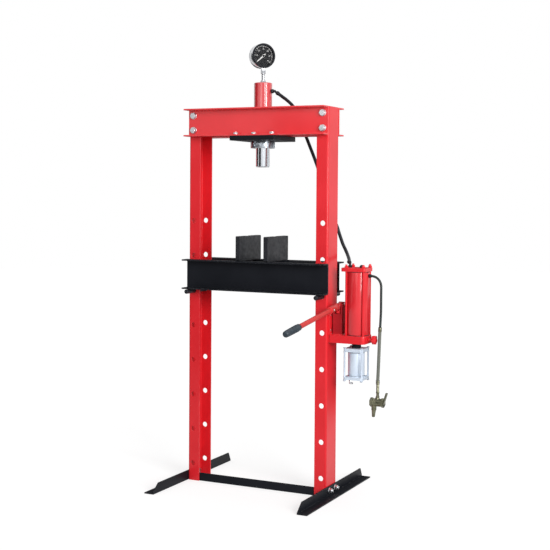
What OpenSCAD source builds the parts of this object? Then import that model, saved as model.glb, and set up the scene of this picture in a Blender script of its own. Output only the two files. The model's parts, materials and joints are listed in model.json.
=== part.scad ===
// H-frame workshop hydraulic press with an air-over-hydraulic pump.
// Two upright channels carry a head beam, a height-adjustable bed and two angle feet.
// A hydraulic cylinder hangs in the head. Its pump, hand lever and air motor sit on the right upright.
// Millimetres, +Z up. The origin is on the floor, midway between the uprights.

/* [Frame] */
// Width over the outer faces of the uprights
frame_w = 650; // [600:5:760]
// Height of the uprights
column_h = 1602; // [1560:1:1700]
// Depth of an upright, front to back
column_d = 108; // [100:1:116]
// Width of an upright's flanges
column_flange = 53; // [46:1:56]
// Wall thickness of every channel
wall = 6; // [5:0.5:8]
// Outer radius of every channel's folded corner
fold_r = 8; // [7:0.5:9]
// Diameter of the pin holes in the uprights
hole_d = 22; // [21.5:0.5:24]
// Spacing of the pin holes
hole_pitch = 150; // [140:5:155]
// Height of the lowest pin hole
first_hole_z = 75; // [65:1:90]
// Pin hole centre, in from the upright's outer face
hole_inset = 24; // [22:1:28]

/* [Head] */
// Height of the head's two channels
head_h = 117; // [110:1:130]
// Width of the flanges of the head and bed channels
beam_flange = 53; // [50:1:60]
// Distance between the two bolts at each end of the head
head_bolt_gap = 62; // [50:1:70]
// Diameter of the head bolts
head_bolt_d = 16; // [14:1:18]

/* [Feet] */
// Length of each angle foot, front to back
foot_l = 680; // [600:10:800]
// Height of a foot's upright leg
foot_h = 41; // [38:1:60]
// Width of a foot's floor leg
foot_w = 44; // [36:1:60]
// Thickness of the feet
foot_t = 5; // [4:0.5:8]
// Height of the cross bar between the uprights
crossbar_h = 35; // [25:1:40]
// Depth of the cross bar's floor leg
crossbar_w = 58; // [55:1:70]
// Thickness of the cross bar
crossbar_t = 4; // [3:0.5:6]

/* [Bed] */
// Length of the bed's two channels
bed_l = 660; // [650:2:670]
// Height of the bed's two channels
bed_h = 127; // [110:1:130]
// Play between the bed's channels and the uprights, on each side
bed_play = 2; // [1:0.5:4]
// Hole that the bed's pins stand in, counted up from 0
bed_hole = 5; // [3:1:5]
// Diameter of the bed pins
pin_d = 19; // [18:0.5:20.5]
// How far a bed pin stands out past the beam flanges, in front and behind
pin_out = 12; // [8:1:20]
// Length of an arbor plate
plate_l = 200; // [180:2:220]
// Height of an arbor plate, standing on edge
plate_h = 104; // [90:1:120]
// Thickness of an arbor plate
plate_t = 20; // [14:1:25]
// Distance between the middles of the two arbor plates
plate_gap = 130; // [90:2:180]

/* [Cylinder] */
// Outside diameter of the cylinder
barrel_d = 76; // [72:1:80]
// Bore of the cylinder
bore_d = 62; // [61:0.5:63]
// Diameter of the ram
ram_d = 58; // [54:0.5:59]
// Length of cylinder above the head
barrel_rise = 108; // [90:1:130]
// Side of the square-cornered ram plate, left to right
ram_plate_w = 204; // [180:2:230]
// Length of the ram plate, front to back
ram_plate_l = 216; // [214:2:230]
// Thickness of the ram plate
ram_plate_t = 20; // [16:1:25]
// Diameter of the ring nut under the ram plate
nut_d = 103; // [96:1:110]
// Height of the ring nut
nut_h = 30; // [24:1:36]
// Length of ram that shows below the ring nut
ram_out = 80; // [60:1:95]
// How far the ram can be driven down
stroke = 150; // [120:1:150]

/* [Gauge] */
// Diameter of the pressure gauge
gauge_d = 102; // [90:1:110]
// Depth of the gauge, front to back
gauge_depth = 44; // [36:1:50]
// Direction the gauge faces, turned right from the front
gauge_turn = 50; // [0:1:60]
// Height of the fitting between the cylinder and the gauge
gauge_rise = 53; // [50:1:70]
// Angle of the pointer at rest, from the dial's right-hand side
pointer_angle = 222; // [215:1:235]

/* [Pump] */
// Height of the underside of the pump's base
pump_z = 637; // [600:1:645]
// Distance from the upright's outer face to the tank's middle
pump_reach = 113; // [107:1:118]
// Thickness of the pump's base
pump_base_t = 33; // [28:1:40]
// Diameter of the tank
tank_d = 92; // [80:1:94]
// Height of the tank
tank_h = 260; // [240:1:270]
// Thickness of the plate on top of the tank
tank_cap_t = 15; // [12:1:20]
// Width of the plates above and below the tank
tank_cap_w = 92; // [90:1:100]
// Distance from the tank's middle to each tie rod, along both sides
tie_offset = 37; // [36:0.5:38]
// Diameter of the plunger
plunger_d = 16; // [12:0.5:18]
// Length of the lever from its pivot to its tip
lever_l = 553; // [450:1:600]
// Diameter of the lever's tube
lever_d = 20; // [18:0.5:22]
// Slope of the lever at rest, down from level
lever_slope = 7; // [5:0.5:8]
// How far the lever lifts
lever_lift = 35; // [20:1:35]
// Length of the lever's grip
grip_l = 122; // [110:1:180]
// Diameter of the lever's grip at its inner end
grip_d = 27; // [25:0.5:32]

/* [Air motor] */
// Side of the air motor's square end plates
motor_w = 84; // [78:1:86]
// Outside diameter of the air motor's barrel
motor_d = 68; // [64:1:72]
// Length of the air motor's barrel
motor_h = 102; // [90:1:120]
// Height of the neck between the pump and the air motor
neck_h = 20; // [16:1:30]

/* [Hoses] */
// Diameter of the hydraulic hose
hydraulic_d = 14; // [12:0.5:15]
// Diameter of the rubber air hose
air_d = 10; // [8:0.5:11]
// Diameter of the braided air hose below it
braid_d = 14; // [12:0.5:15]

/* [Hidden] */
$fn = 64;

// Clearances
fit = 0.05;        // radial, round the pins, rods and threads that run or screw in a bore
clear = 0.3;       // between a round face and another body's face
bolt_play = 0.5;   // radial, round a bolt in its hole
eps = 1;           // how far a cut runs past the face that it opens

// Frame
column_x = frame_w / 2;
hole_x = column_x - hole_inset;
hole_count = 8;
head_z = column_h - head_h / 2;
head_bottom = column_h - head_h;
beam_y = column_d / 2 + beam_flange;
bolt_head_h = head_bolt_d * 0.625;
bolt_nut_h = head_bolt_d * 0.8;
bolt_across = head_bolt_d * 1.5;
foot_bolt_d = 12;
foot_bolt_y = 30;
foot_bolt_z = 24;
foot_bolt_head_h = 8;
foot_nut_h = 12;
washer_t = 2.5;
washer_d = 2 * foot_bolt_d;
foot_front_cut = [42, 34];
foot_rear_cut = [18, 34];

// Bed
pin_z = first_hole_z + bed_hole * hole_pitch - (hole_d - pin_d) / 2 + clear;
bed_z = pin_z + pin_d / 2 + clear;
bed_web_y = column_d / 2 + bed_play;
bed_side_play = 3;
spacer_t = 10;
spacer_margin = 10;
pin_l = 2 * (beam_y + bed_play + pin_out);
pin_chamfer = 2;
notch_w = 30;
notch_h = 9;
plate_chamfer = 3;

// Cylinder and ram
ram_plate_z = head_bottom - ram_plate_t;
barrel_bottom = ram_plate_z - nut_h;
barrel_top = column_h + barrel_rise;
barrel_cap_t = 12;
shoulder_d = 96;
shoulder_h = 12;
gland_h = 20;
gland_d = (barrel_d + bore_d) / 2;
ram_bottom = barrel_bottom - ram_out;
piston_h = 40;
bore_top = barrel_top - barrel_cap_t;
piston_top = bore_top - 8;
spring_bore_d = 36;
spring_seat = 30;
plate_bolt_d = 12;
plate_bolt_x = 84;
plate_bolt_y = column_d / 2 + 33;
port_z = barrel_top - 36;
port_d = 9;

// Gauge
stem_h = 10;
gauge_z = barrel_top + gauge_rise + stem_h + gauge_d / 2;
bezel_back = 3;
bezel_t = 7;
gauge_wall = 3;
gauge_thread = 12;
glass_t = 3;
dial_depth = 2;
dial_t = 1;
arbor_d = 4;
stem_w = 14;

// Pump
pump_x = column_x + pump_reach;
pump_top = pump_z + pump_base_t;
tank_wall = 4;
tank_top = pump_top + tank_h;
cap_top = tank_top + tank_cap_t;
bracket_t = 8;
bracket_w = 84;
bracket_h = 130;
bracket_bolt_d = 10;
bracket_bolt_y = 30;
bracket_bolt_z = 50;
bracket_bolt_rise = 62;
tie_d = 9;
tie_seat = 12;
port_depth = 9;
plug = [pump_x + 12, 8];
plug_d = 14;
pump_barrel_h = 52;
release_z = pump_z + pump_base_t / 2;
release_d = 10;
block_x0 = column_x + bracket_t + 5;
block_x1 = pump_x - tank_d / 2 - 14;
block_w = 52;
block_h = 84;
guard_play = 0.5;
block_top = pump_top + block_h;
lever_x = (block_x0 + block_x1) / 2;
fulcrum_y = 22;
fulcrum_h = 121;
fulcrum_z = pump_top + fulcrum_h;
fulcrum_d = 10;
lever_pin_d = 8;
lever_pin_r = 32;
plunger_y = fulcrum_y - lever_pin_r * cos(lever_slope);
lever_pin_z = fulcrum_z - lever_pin_r * sin(lever_slope);
lug_t = 10;
lug_h = 20;
lug_play = 1;
slot_play = 1;
fork_w = 26;
fork_pin_l = fork_w + 2;
cheek_t = 6;
socket_start = 66;
socket_l = 70;
socket_d = lever_d + 8;

// Air motor
motor_top_t = 14;
motor_bottom_t = 12;
motor_bore_d = motor_d - 6;
motor_top_z = pump_z - neck_h - motor_top_t;
motor_barrel_z = motor_top_z - motor_h;
motor_bottom_z = motor_barrel_z - motor_bottom_t;
motor_x = pump_x - 5;
motor_rod = motor_w / 2 - 5;
motor_rod_d = 7;
piston_rod_d = 12;
drain_d = 8;
drain_x = 20;
drain_y = 18;

// Hoses
hose_sides = 10;
outlet_z = tank_top - 17;
ferrule_l = 10;
ferrule_d = 16;
neck_d = 10;
elbow_x = 54;
port_reach = 22;
outlet_reach = 34;

// A folded channel's outline: web against x = 0, flanges towards -x, middle at y = 0
module channel_outline(depth, flange) {
  inner_r = fold_r - wall;
  difference() {
    union() {
      translate([-flange, -depth / 2]) square([flange - fold_r, depth]);
      translate([-fold_r, -depth / 2 + fold_r]) square([fold_r, depth - 2 * fold_r]);
      for (side = [-1, 1]) translate([-fold_r, side * (depth / 2 - fold_r)]) circle(fold_r);
    }
    translate([-flange - eps, -depth / 2 + wall]) square([flange + eps - fold_r, depth - 2 * wall]);
    translate([-fold_r - eps, -depth / 2 + fold_r]) square([eps + inner_r, depth - 2 * fold_r]);
    for (side = [-1, 1]) translate([-fold_r, side * (depth / 2 - fold_r)]) circle(inner_r);
  }
}

// A channel lying along X with its web at y = 0 and its flanges towards -Y
module beam(length, height, flange) {
  rotate([90, 0, 90]) linear_extrude(length, center = true) channel_outline(height, flange);
}

// A rod along Y, from y0 to y1
module rod_y(d, y0, y1) {
  translate([0, y1, 0]) rotate([90, 0, 0]) cylinder(d = d, h = y1 - y0);
}

// A rod along X, from x0 to x1
module rod_x(d, x0, x1) {
  translate([x0, 0, 0]) rotate([0, 90, 0]) cylinder(d = d, h = x1 - x0);
}

// A hexagon along Z, with the given distance across its flats
module hex(across, h) {
  cylinder(d = across / cos(30), h = h, $fn = 6);
}

// A hexagon-headed bolt along -Z, with its head standing on z = 0
module bolt(d, length, head_h) {
  hex(1.5 * d, head_h);
  translate([0, 0, -length]) cylinder(d = d, h = length + 0.5);
}

// A hexagon nut standing on z = 0
module nut(d, h) {
  difference() {
    hex(1.5 * d, h);
    translate([0, 0, -eps]) cylinder(d = d + 2 * fit, h = h + 2 * eps);
  }
}

// A flat bar with round corners, centred, standing on z = 0
module round_corner_plate(x, y, r, h) {
  linear_extrude(h) {
    square([x - 2 * r, y], center = true);
    square([x, y - 2 * r], center = true);
    for (sx = [-1, 1], sy = [-1, 1]) translate([sx * (x / 2 - r), sy * (y / 2 - r)]) circle(r);
  }
}

// A plate with its four corners cut at 45 degrees
module cut_corner_plate(side, cut, h) {
  a = side / 2;
  b = a - cut;
  linear_extrude(h)
    polygon([[a, -b], [a, b], [b, a], [-b, a], [-a, b], [-a, -b], [-b, -a], [b, -a]]);
}

// Turns +Z to a direction
module aim(d) {
  rotate([0, acos(d[2] / norm(d)), atan2(d[1], d[0])]) children();
}

// A tube swept along a list of points. Its flat ends are square to the aims lead and tail, or to its
// first and last stretch.
function unit(v) = v / norm(v);
function heading(p, i) = unit(p[min(i + 1, len(p) - 1)] - p[max(i - 1, 0)]);
function carried(aims, i, last) = i == len(aims) ? [] :
  let (h = aims[i], n = unit(last - (last * h) * h)) concat([n], carried(aims, i + 1, n));
module swept_tube(points, d, sides, lead = undef, tail = undef) {
  rings = len(points);
  aims = [
    for (i = [0 : rings - 1])
      i == 0 && !is_undef(lead) ? unit(lead) : i == rings - 1 && !is_undef(tail) ? unit(tail) : heading(points, i)
  ];
  across = carried(aims, 0, abs(aims[0][1]) < 0.9 ? [0, 1, 0] : [1, 0, 0]);
  skin = [
    for (i = [0 : rings - 1], k = [0 : sides - 1])
      let (a = 360 * k / sides, n = across[i])
        points[i] + d / 2 * (cos(a) * n + sin(a) * cross(aims[i], n))
  ];
  walls = [
    for (i = [0 : rings - 2], k = [0 : sides - 1])
      let (next = (k + 1) % sides)
        [i * sides + k, (i + 1) * sides + k, (i + 1) * sides + next, i * sides + next]
  ];
  start = [for (k = [0 : sides - 1]) k];
  end = [for (k = [sides - 1 : -1 : 0]) (rings - 1) * sides + k];
  polyhedron(skin, concat([start], walls, [end]), convexity = 10);
}

// Frame

module column(side) {
  color([0.80, 0.13, 0.14])
    mirror([side < 0 ? 1 : 0, 0, 0])
      difference() {
        translate([column_x, 0, 0]) linear_extrude(column_h) channel_outline(column_d, column_flange);
        for (k = [0 : hole_count - 1])
          translate([hole_x, 0, first_hole_z + k * hole_pitch]) rod_y(hole_d, -column_d, column_d);
        for (z = [-1, 1])
          translate([hole_x, 0, head_z + z * head_bolt_gap / 2])
            rod_y(head_bolt_d + 2 * bolt_play, -column_d, column_d);
        for (y = [-1, 1])
          translate([0, y * foot_bolt_y, foot_bolt_z])
            rod_x(foot_bolt_d + 2 * bolt_play, column_x - 2 * wall, column_x + eps);
        if (side > 0) bracket_holes(column_x - 2 * wall, bracket_bolt_d + 2 * bolt_play);
      }
}

module head_beam(side) {
  color([0.83, 0.20, 0.20])
    mirror([0, side > 0 ? 1 : 0, 0])
      difference() {
        translate([0, -column_d / 2, head_z]) beam(frame_w, head_h, beam_flange);
        for (x = [-1, 1], z = [-1, 1])
          translate([x * hole_x, 0, head_z + z * head_bolt_gap / 2])
            rod_y(head_bolt_d + 2 * bolt_play, -column_d, 0);
        for (x = [-1, 0, 1])
          translate([x * plate_bolt_x, -plate_bolt_y, head_bottom - eps])
            cylinder(d = plate_bolt_d + 2 * bolt_play, h = wall + 2 * eps);
      }
}

// Places its children at each head bolt, with +Z pointing out of the head
module at_head_bolts() {
  for (x = [-1, 1], y = [-1, 1], z = [-1, 1])
    translate([x * hole_x, y * (column_d / 2), head_z + z * head_bolt_gap / 2])
      rotate([y < 0 ? 90 : -90, 0, 0]) children();
}

module head_bolts() {
  color([0.82, 0.83, 0.84]) at_head_bolts()
    translate([0, 0, wall]) bolt(head_bolt_d, 2 * wall + bolt_nut_h + 3, bolt_head_h);
}

module head_nuts() {
  color([0.75, 0.76, 0.77]) at_head_bolts()
    translate([0, 0, -wall - bolt_nut_h]) nut(head_bolt_d, bolt_nut_h);
}

module foot(side) {
  front = foot_front_cut;
  rear = foot_rear_cut;
  color([0.09, 0.09, 0.10])
    mirror([side < 0 ? 1 : 0, 0, 0])
      difference() {
        union() {
          translate([column_x, 0, 0]) rotate([90, 0, 90]) linear_extrude(foot_t)
            polygon([
              [-foot_l / 2, 0], [foot_l / 2, 0], [foot_l / 2, foot_h - rear[1]],
              [foot_l / 2 - rear[0], foot_h], [-foot_l / 2 + front[0], foot_h],
              [-foot_l / 2, foot_h - front[1]]
            ]);
          translate([column_x, -foot_l / 2, 0]) cube([foot_w, foot_l, foot_t]);
        }
        for (y = [-1, 1])
          translate([0, y * foot_bolt_y, foot_bolt_z])
            rod_x(foot_bolt_d + 2 * bolt_play, column_x - eps, column_x + 2 * foot_t);
      }
}

// Places its children at each foot bolt on the outer face of the foot, with +Z pointing out
module at_foot_bolts() {
  for (x = [-1, 1], y = [-1, 1])
    translate([x * (column_x + foot_t), y * foot_bolt_y, foot_bolt_z])
      rotate([0, x * 90, 0]) children();
}

module foot_bolts() {
  show = 8;
  color([0.82, 0.83, 0.84]) at_foot_bolts()
    translate([0, 0, -foot_t - wall]) rotate([180, 0, 0])
      bolt(foot_bolt_d, foot_t + wall + foot_nut_h + show, foot_bolt_head_h);
}

// Nuts with a washer face, on the outer side of the feet
module foot_nuts() {
  color([0.75, 0.76, 0.77]) at_foot_bolts()
    difference() {
      union() {
        cylinder(d = washer_d, h = washer_t);
        hex(1.5 * foot_bolt_d, foot_nut_h);
      }
      translate([0, 0, -eps]) cylinder(d = foot_bolt_d + 2 * fit, h = foot_nut_h + 2 * eps);
    }
}

module crossbar() {
  span = frame_w - 2 * wall;
  y0 = -column_d / 2 + wall;
  color([0.09, 0.09, 0.10]) {
    translate([-span / 2 + fold_r, y0, 0]) cube([span - 2 * fold_r, crossbar_t, crossbar_h]);
    translate([-span / 2 + fold_r, y0, 0]) cube([span - 2 * fold_r, crossbar_w, crossbar_t]);
  }
}

// Bed

module bed_beam(side) {
  color([0.08, 0.09, 0.10])
    mirror([0, side > 0 ? 1 : 0, 0])
      translate([0, -bed_web_y, bed_z + bed_h / 2]) beam(bed_l, bed_h, beam_flange);
}

module bed_spacers() {
  outer_x = column_x - column_flange - bed_side_play;
  color([0.08, 0.09, 0.10])
    for (x = [-1, 1])
      translate([x * (outer_x - spacer_t / 2), 0, bed_z + bed_h / 2])
        cube([spacer_t, 2 * bed_web_y, bed_h - 2 * spacer_margin], center = true);
}

module bed_pin(side) {
  color([0.10, 0.10, 0.11])
    translate([side * hole_x, 0, pin_z]) {
      rod_y(pin_d, -pin_l / 2 + pin_chamfer, pin_l / 2 - pin_chamfer);
      for (s = [-1, 1])
        translate([0, s * (pin_l / 2 - pin_chamfer), 0]) rotate([-s * 90, 0, 0])
          cylinder(d1 = pin_d, d2 = pin_d - 2 * pin_chamfer, h = pin_chamfer);
    }
}

module arbor_plate(side) {
  a = plate_l / 2;
  c = plate_chamfer;
  color([0.13, 0.13, 0.14])
    translate([side * plate_gap / 2 - plate_t / 2, 0, bed_z + bed_h])
      rotate([90, 0, 90]) linear_extrude(plate_t)
        polygon([
          [-a + c, 0], [a - c, 0], [a, c], [a, plate_h - c], [a - c, plate_h],
          [notch_w / 2, plate_h], [0, plate_h - notch_h], [-notch_w / 2, plate_h],
          [-a + c, plate_h], [-a, plate_h - c], [-a, c]
        ]);
}

// Cylinder

module ram_plate() {
  color([0.07, 0.07, 0.08])
    difference() {
      translate([-ram_plate_w / 2, -ram_plate_l / 2, ram_plate_z])
        cube([ram_plate_w, ram_plate_l, ram_plate_t]);
      translate([0, 0, ram_plate_z - eps])
        cylinder(d = barrel_d + 2 * clear, h = ram_plate_t + 2 * eps);
      for (x = [-1, 0, 1], y = [-1, 1])
        translate([x * plate_bolt_x, y * plate_bolt_y, ram_plate_z - eps])
          cylinder(d = plate_bolt_d + 2 * fit, h = ram_plate_t + 2 * eps);
    }
}

module ram_plate_bolts() {
  color([0.82, 0.83, 0.84])
    for (x = [-1, 0, 1], y = [-1, 1])
      translate([x * plate_bolt_x, y * plate_bolt_y, head_bottom + wall])
        bolt(plate_bolt_d, wall + ram_plate_t, 8);
}

module barrel() {
  chamfer = 2;
  color([0.83, 0.20, 0.18])
    difference() {
      union() {
        translate([0, 0, barrel_bottom])
          cylinder(d = barrel_d, h = barrel_top - chamfer - barrel_bottom);
        translate([0, 0, barrel_top - chamfer])
          cylinder(d1 = barrel_d, d2 = barrel_d - 2 * chamfer, h = chamfer);
        translate([0, 0, head_bottom]) cylinder(d = shoulder_d, h = shoulder_h);
      }
      translate([0, 0, barrel_bottom - eps])
        cylinder(d = bore_d, h = bore_top - barrel_bottom + eps);
      translate([0, 0, barrel_bottom - eps])
        cylinder(d = gland_d + 2 * fit, h = gland_h + eps);
      translate([0, 0, bore_top - eps])
        cylinder(d = gauge_thread + 2 * fit, h = barrel_cap_t + 2 * eps);
      translate([0, 0, port_z]) rod_x(port_d, 0, barrel_d);
    }
}

module ring_nut() {
  notches = 6;
  color([0.74, 0.75, 0.77])
    difference() {
      translate([0, 0, barrel_bottom]) cylinder(d = nut_d, h = nut_h);
      translate([0, 0, barrel_bottom - eps])
        cylinder(d = barrel_d + 2 * fit, h = nut_h + 2 * eps);
      for (k = [0 : notches - 1])
        rotate([0, 0, k * 360 / notches + 15])
          translate([nut_d / 2 - 5, -5, barrel_bottom + 6]) cube([10, 10, nut_h - 12]);
    }
}

module gland() {
  color([0.72, 0.55, 0.25])
    difference() {
      translate([0, 0, barrel_bottom]) cylinder(d = gland_d, h = gland_h);
      translate([0, 0, barrel_bottom - eps]) cylinder(d = ram_d + 2 * fit, h = gland_h + 2 * eps);
    }
}

module ram() {
  nose = 3;
  seal_z = piston_top - 16;
  color([0.80, 0.81, 0.83])
    difference() {
      union() {
        translate([0, 0, ram_bottom + nose])
          cylinder(d = ram_d, h = piston_top - ram_bottom - nose - eps);
        translate([0, 0, ram_bottom]) cylinder(d1 = ram_d - 2 * nose, d2 = ram_d, h = nose);
        translate([0, 0, piston_top - piston_h])
          cylinder(d = bore_d - 2 * fit, h = piston_h);
      }
      translate([0, 0, ram_bottom + spring_seat])
        cylinder(d = spring_bore_d, h = piston_top - ram_bottom);
      translate([0, 0, seal_z]) seal_ring(bore_d - 10);
    }
}

// The ring-shaped room for the piston's seal
module seal_ring(inner_d) {
  difference() {
    cylinder(d = bore_d + 2, h = 8);
    translate([0, 0, -eps]) cylinder(d = inner_d, h = 8 + 2 * eps);
  }
}

module piston_seal() {
  color([0.08, 0.08, 0.08])
    translate([0, 0, piston_top - 16])
      difference() {
        cylinder(d = bore_d - 2 * fit, h = 8);
        translate([0, 0, -eps]) cylinder(d = bore_d - 10, h = 8 + 2 * eps);
      }
}

// The extension spring that draws the ram back up, between the cap and the floor of the ram's bore
module return_spring() {
  wire = 4;
  turns = 15;
  per_turn = 8;
  low = ram_bottom + spring_seat;
  high = bore_top;
  coil_r = 11;
  rise = high - low - 2 * wire;
  color([0.45, 0.46, 0.48]) {
    swept_tube([
      for (k = [0 : turns * per_turn])
        [
          coil_r * cos(k * 360 / per_turn), coil_r * sin(k * 360 / per_turn),
          low + wire + rise * k / (turns * per_turn)
        ]
    ], wire, 6);
    for (z = [low, high - wire])
      translate([0, 0, z]) cylinder(r = coil_r + wire / 2, h = wire + 1 - (z == low ? 0 : 1));
  }
}

// Gauge

module gauge_adapter() {
  color([0.78, 0.78, 0.80]) {
    translate([0, 0, bore_top]) cylinder(d = gauge_thread, h = barrel_cap_t + 1);
    translate([0, 0, barrel_top]) hex(21, 9);
    translate([0, 0, barrel_top + 8]) cylinder(d = 13, h = gauge_rise - 20);
    translate([0, 0, barrel_top + gauge_rise - 14]) hex(19, 14);
  }
}

// The gauge's own frame: +Z out of its face, +Y up, +X to the reader's right
module at_gauge() {
  translate([0, 0, gauge_z]) rotate([90, 0, gauge_turn]) children();
}

module gauge_case() {
  back = bezel_back + bezel_t - gauge_depth;
  color([0.72, 0.73, 0.75]) {
    at_gauge() difference() {
      translate([0, 0, back]) cylinder(d = gauge_d, h = bezel_back - back);
      translate([0, 0, back + gauge_wall]) cylinder(d = gauge_d - 2 * gauge_wall, h = gauge_depth);
    }
    rotate([0, 0, gauge_turn])
      translate([-stem_w / 2, -bezel_back + clear, barrel_top + gauge_rise])
        cube([stem_w, stem_w - 3, stem_h + gauge_wall - 1]);
  }
}

module gauge_bezel() {
  lip = 6.5;
  edge = 2;
  color([0.06, 0.06, 0.07])
    at_gauge() translate([0, 0, bezel_back])
      difference() {
        union() {
          cylinder(d = gauge_d + edge, h = bezel_t - edge);
          translate([0, 0, bezel_t - edge])
            cylinder(d1 = gauge_d + edge, d2 = gauge_d - edge, h = edge);
        }
        translate([0, 0, -eps]) cylinder(d = gauge_d - 2 * gauge_wall, h = glass_t + eps);
        translate([0, 0, -eps]) cylinder(d = gauge_d - 2 * lip, h = bezel_t + 2 * eps);
      }
}

module gauge_dial() {
  color([0.06, 0.06, 0.07])
    at_gauge() translate([0, 0, -dial_depth])
      difference() {
        cylinder(d = gauge_d - 2 * gauge_wall - 2 * fit, h = dial_t);
        translate([0, 0, -eps]) cylinder(d = arbor_d + 2 * fit, h = dial_t + 2 * eps);
      }
}

module gauge_pointer() {
  tip = 0.42 * gauge_d;
  tail = 0.12 * gauge_d;
  color([0.92, 0.92, 0.92])
    at_gauge() {
      translate([0, 0, -dial_depth - 6]) cylinder(d = arbor_d, h = dial_depth + 6.5);
      cylinder(d = 11, h = 2);
      rotate([0, 0, pointer_angle]) linear_extrude(1)
        polygon([[-tail, -3], [-tail, 3], [0, 3.2], [tip - 6, 1.4], [tip, 0], [tip - 6, -1.4], [0, -3.2]]);
    }
}

module gauge_glass() {
  color([0.85, 0.90, 0.92, 0.3])
    at_gauge() translate([0, 0, bezel_back])
      cylinder(d = gauge_d - 2 * gauge_wall - 2 * fit, h = glass_t);
}

// Hydraulic hose, with a fitting at each end

port = [elbow_x, 0, port_z];
port_aim = [0.46, 0.76, -0.46];
outlet = [pump_x - 40, 10, cap_top + 20];
outlet_aim = [-0.5, 0.87, 0];

// Route of the hydraulic hose: first over the back of the head, measured from the cylinder's port
hose_top = [
  [19, 40, -22], [25, 64, -32], [30, 94, -45], [34, 106, -54], [40, 116, -66], [46, 122, -81],
  [53, 126, -96], [68, 128, -134], [85, 129, -178], [106, 130, -228], [125, 130, -272],
  [144, 131, -321], [161, 131, -371], [178, 132, -421], [194, 132, -471], [209, 133, -519]
];
// then round the back of the upright, measured from the pump's outlet
hose_low = [
  [-112, 123, 145], [-102, 123, 117], [-91, 119, 92], [-79, 114, 67], [-63, 109, 40], [-49, 96, 21],
  [-36, 75, 10], [-27, 56, 4]
];
hose_route = concat(
  [port + port_reach * unit(port_aim)],
  [for (p = hose_top) port + p],
  [for (p = hose_low) outlet + p],
  [outlet + outlet_reach * unit(outlet_aim)]
);

// The neck and the ferrule that hold a hose's end, along +Z from an elbow
module hose_end(reach) {
  sphere(d = neck_d + 2);
  cylinder(d = neck_d, h = reach);
  translate([0, 0, reach - ferrule_l]) cylinder(d = ferrule_d, h = ferrule_l);
}

module cylinder_fitting() {
  color([0.10, 0.10, 0.11]) {
    translate([0, 0, port_z]) rod_x(port_d - 2 * fit, bore_d / 2 + 1, barrel_d / 2 + 2);
    translate([barrel_d / 2 + clear, 0, port_z])
      rotate([0, 90, 0]) hex(ferrule_d, elbow_x - barrel_d / 2 - 6);
    translate([0, 0, port_z]) rod_x(neck_d, elbow_x - 8, elbow_x);
    translate(port) aim(port_aim) hose_end(port_reach);
  }
}

module hydraulic_hose() {
  color([0.06, 0.06, 0.07]) swept_tube(hose_route, hydraulic_d, hose_sides, port_aim, -outlet_aim);
}

module pump_fitting() {
  base = [outlet[0], outlet[1], cap_top];
  color([0.10, 0.10, 0.11]) {
    translate(base - [0, 0, port_depth - 1]) cylinder(d = neck_d - 2 * fit, h = port_depth);
    translate(base) hex(ferrule_d, 8);
    translate(base + [0, 0, 7]) cylinder(d = neck_d, h = outlet[2] - cap_top - 7);
    translate(outlet) aim(outlet_aim) hose_end(outlet_reach);
  }
}

// Pump

// Bores for the bolts that hold the pump's bracket, starting from x0
module bracket_holes(x0, d) {
  at_bracket_bolts(x0) rod_x(d, 0, column_x + bracket_t + eps - x0);
}

// Places its children at the four bolts of the pump's bracket, at x
module at_bracket_bolts(x) {
  for (y = [-1, 1], z = [0, 1])
    translate([x, y * bracket_bolt_y, pump_z + bracket_bolt_z + z * bracket_bolt_rise]) children();
}

module pump_bracket() {
  color([0.80, 0.14, 0.14])
    difference() {
      translate([column_x, -bracket_w / 2, pump_z]) cube([bracket_t, bracket_w, bracket_h]);
      bracket_holes(column_x - eps, bracket_bolt_d + 2 * fit);
    }
}

module bracket_bolts() {
  color([0.75, 0.76, 0.77])
    at_bracket_bolts(column_x - wall) rotate([0, -90, 0]) bolt(bracket_bolt_d, wall + bracket_t, 7);
}

module pump_base() {
  x0 = column_x + bracket_t;
  x1 = pump_x + tank_cap_w / 2;
  corner = 14;
  color([0.82, 0.13, 0.15])
    difference() {
      union() {
        translate([x0, -tank_cap_w / 2, pump_z]) cube([x1 - x0 - corner, tank_cap_w, pump_base_t]);
        translate([x1 - tank_cap_w / 2, 0, pump_z])
          round_corner_plate(tank_cap_w, tank_cap_w, corner, pump_base_t);
        // pump barrel, inside the tank
        translate([motor_x, 0, pump_z]) cylinder(d = 26, h = pump_base_t + pump_barrel_h);
      }
      translate([motor_x, 0, pump_z - eps])
        cylinder(d = piston_rod_d + 2 * fit, h = pump_base_t + pump_barrel_h - 5);
      translate([0, 0, release_z]) rod_x(release_d + 2 * fit, x1 - 34, x1 + eps);
      at_tie_rods(pump_top - tie_seat) cylinder(d = tie_d + 2 * fit, h = tie_seat + eps);
    }
}

// Places its children at the tank's four tie rods, at height z
module at_tie_rods(z) {
  for (x = [-1, 1], y = [-1, 1]) translate([pump_x + x * tie_offset, y * tie_offset, z]) children();
}

module tank() {
  color([0.84, 0.20, 0.20])
    translate([pump_x, 0, pump_top])
      difference() {
        cylinder(d = tank_d, h = tank_h);
        translate([0, 0, -eps]) cylinder(d = tank_d - 2 * tank_wall, h = tank_h + 2 * eps);
        translate([0, 0, outlet_z - pump_top]) rod_x(8, 0, tank_d);
      }
}

module tank_cap() {
  ear = 12;
  color([0.83, 0.15, 0.18])
    difference() {
      translate([pump_x - ear / 2, 0, tank_top])
        round_corner_plate(tank_cap_w + ear, tank_cap_w, 8, tank_cap_t);
      at_tie_rods(tank_top - eps) cylinder(d = tie_d + 2 * fit, h = tank_cap_t + 2 * eps);
      translate([outlet[0], outlet[1], cap_top - port_depth]) cylinder(d = neck_d, h = port_depth + eps);
      translate([plug[0], plug[1], cap_top - port_depth]) cylinder(d = plug_d, h = port_depth + eps);
    }
}

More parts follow.
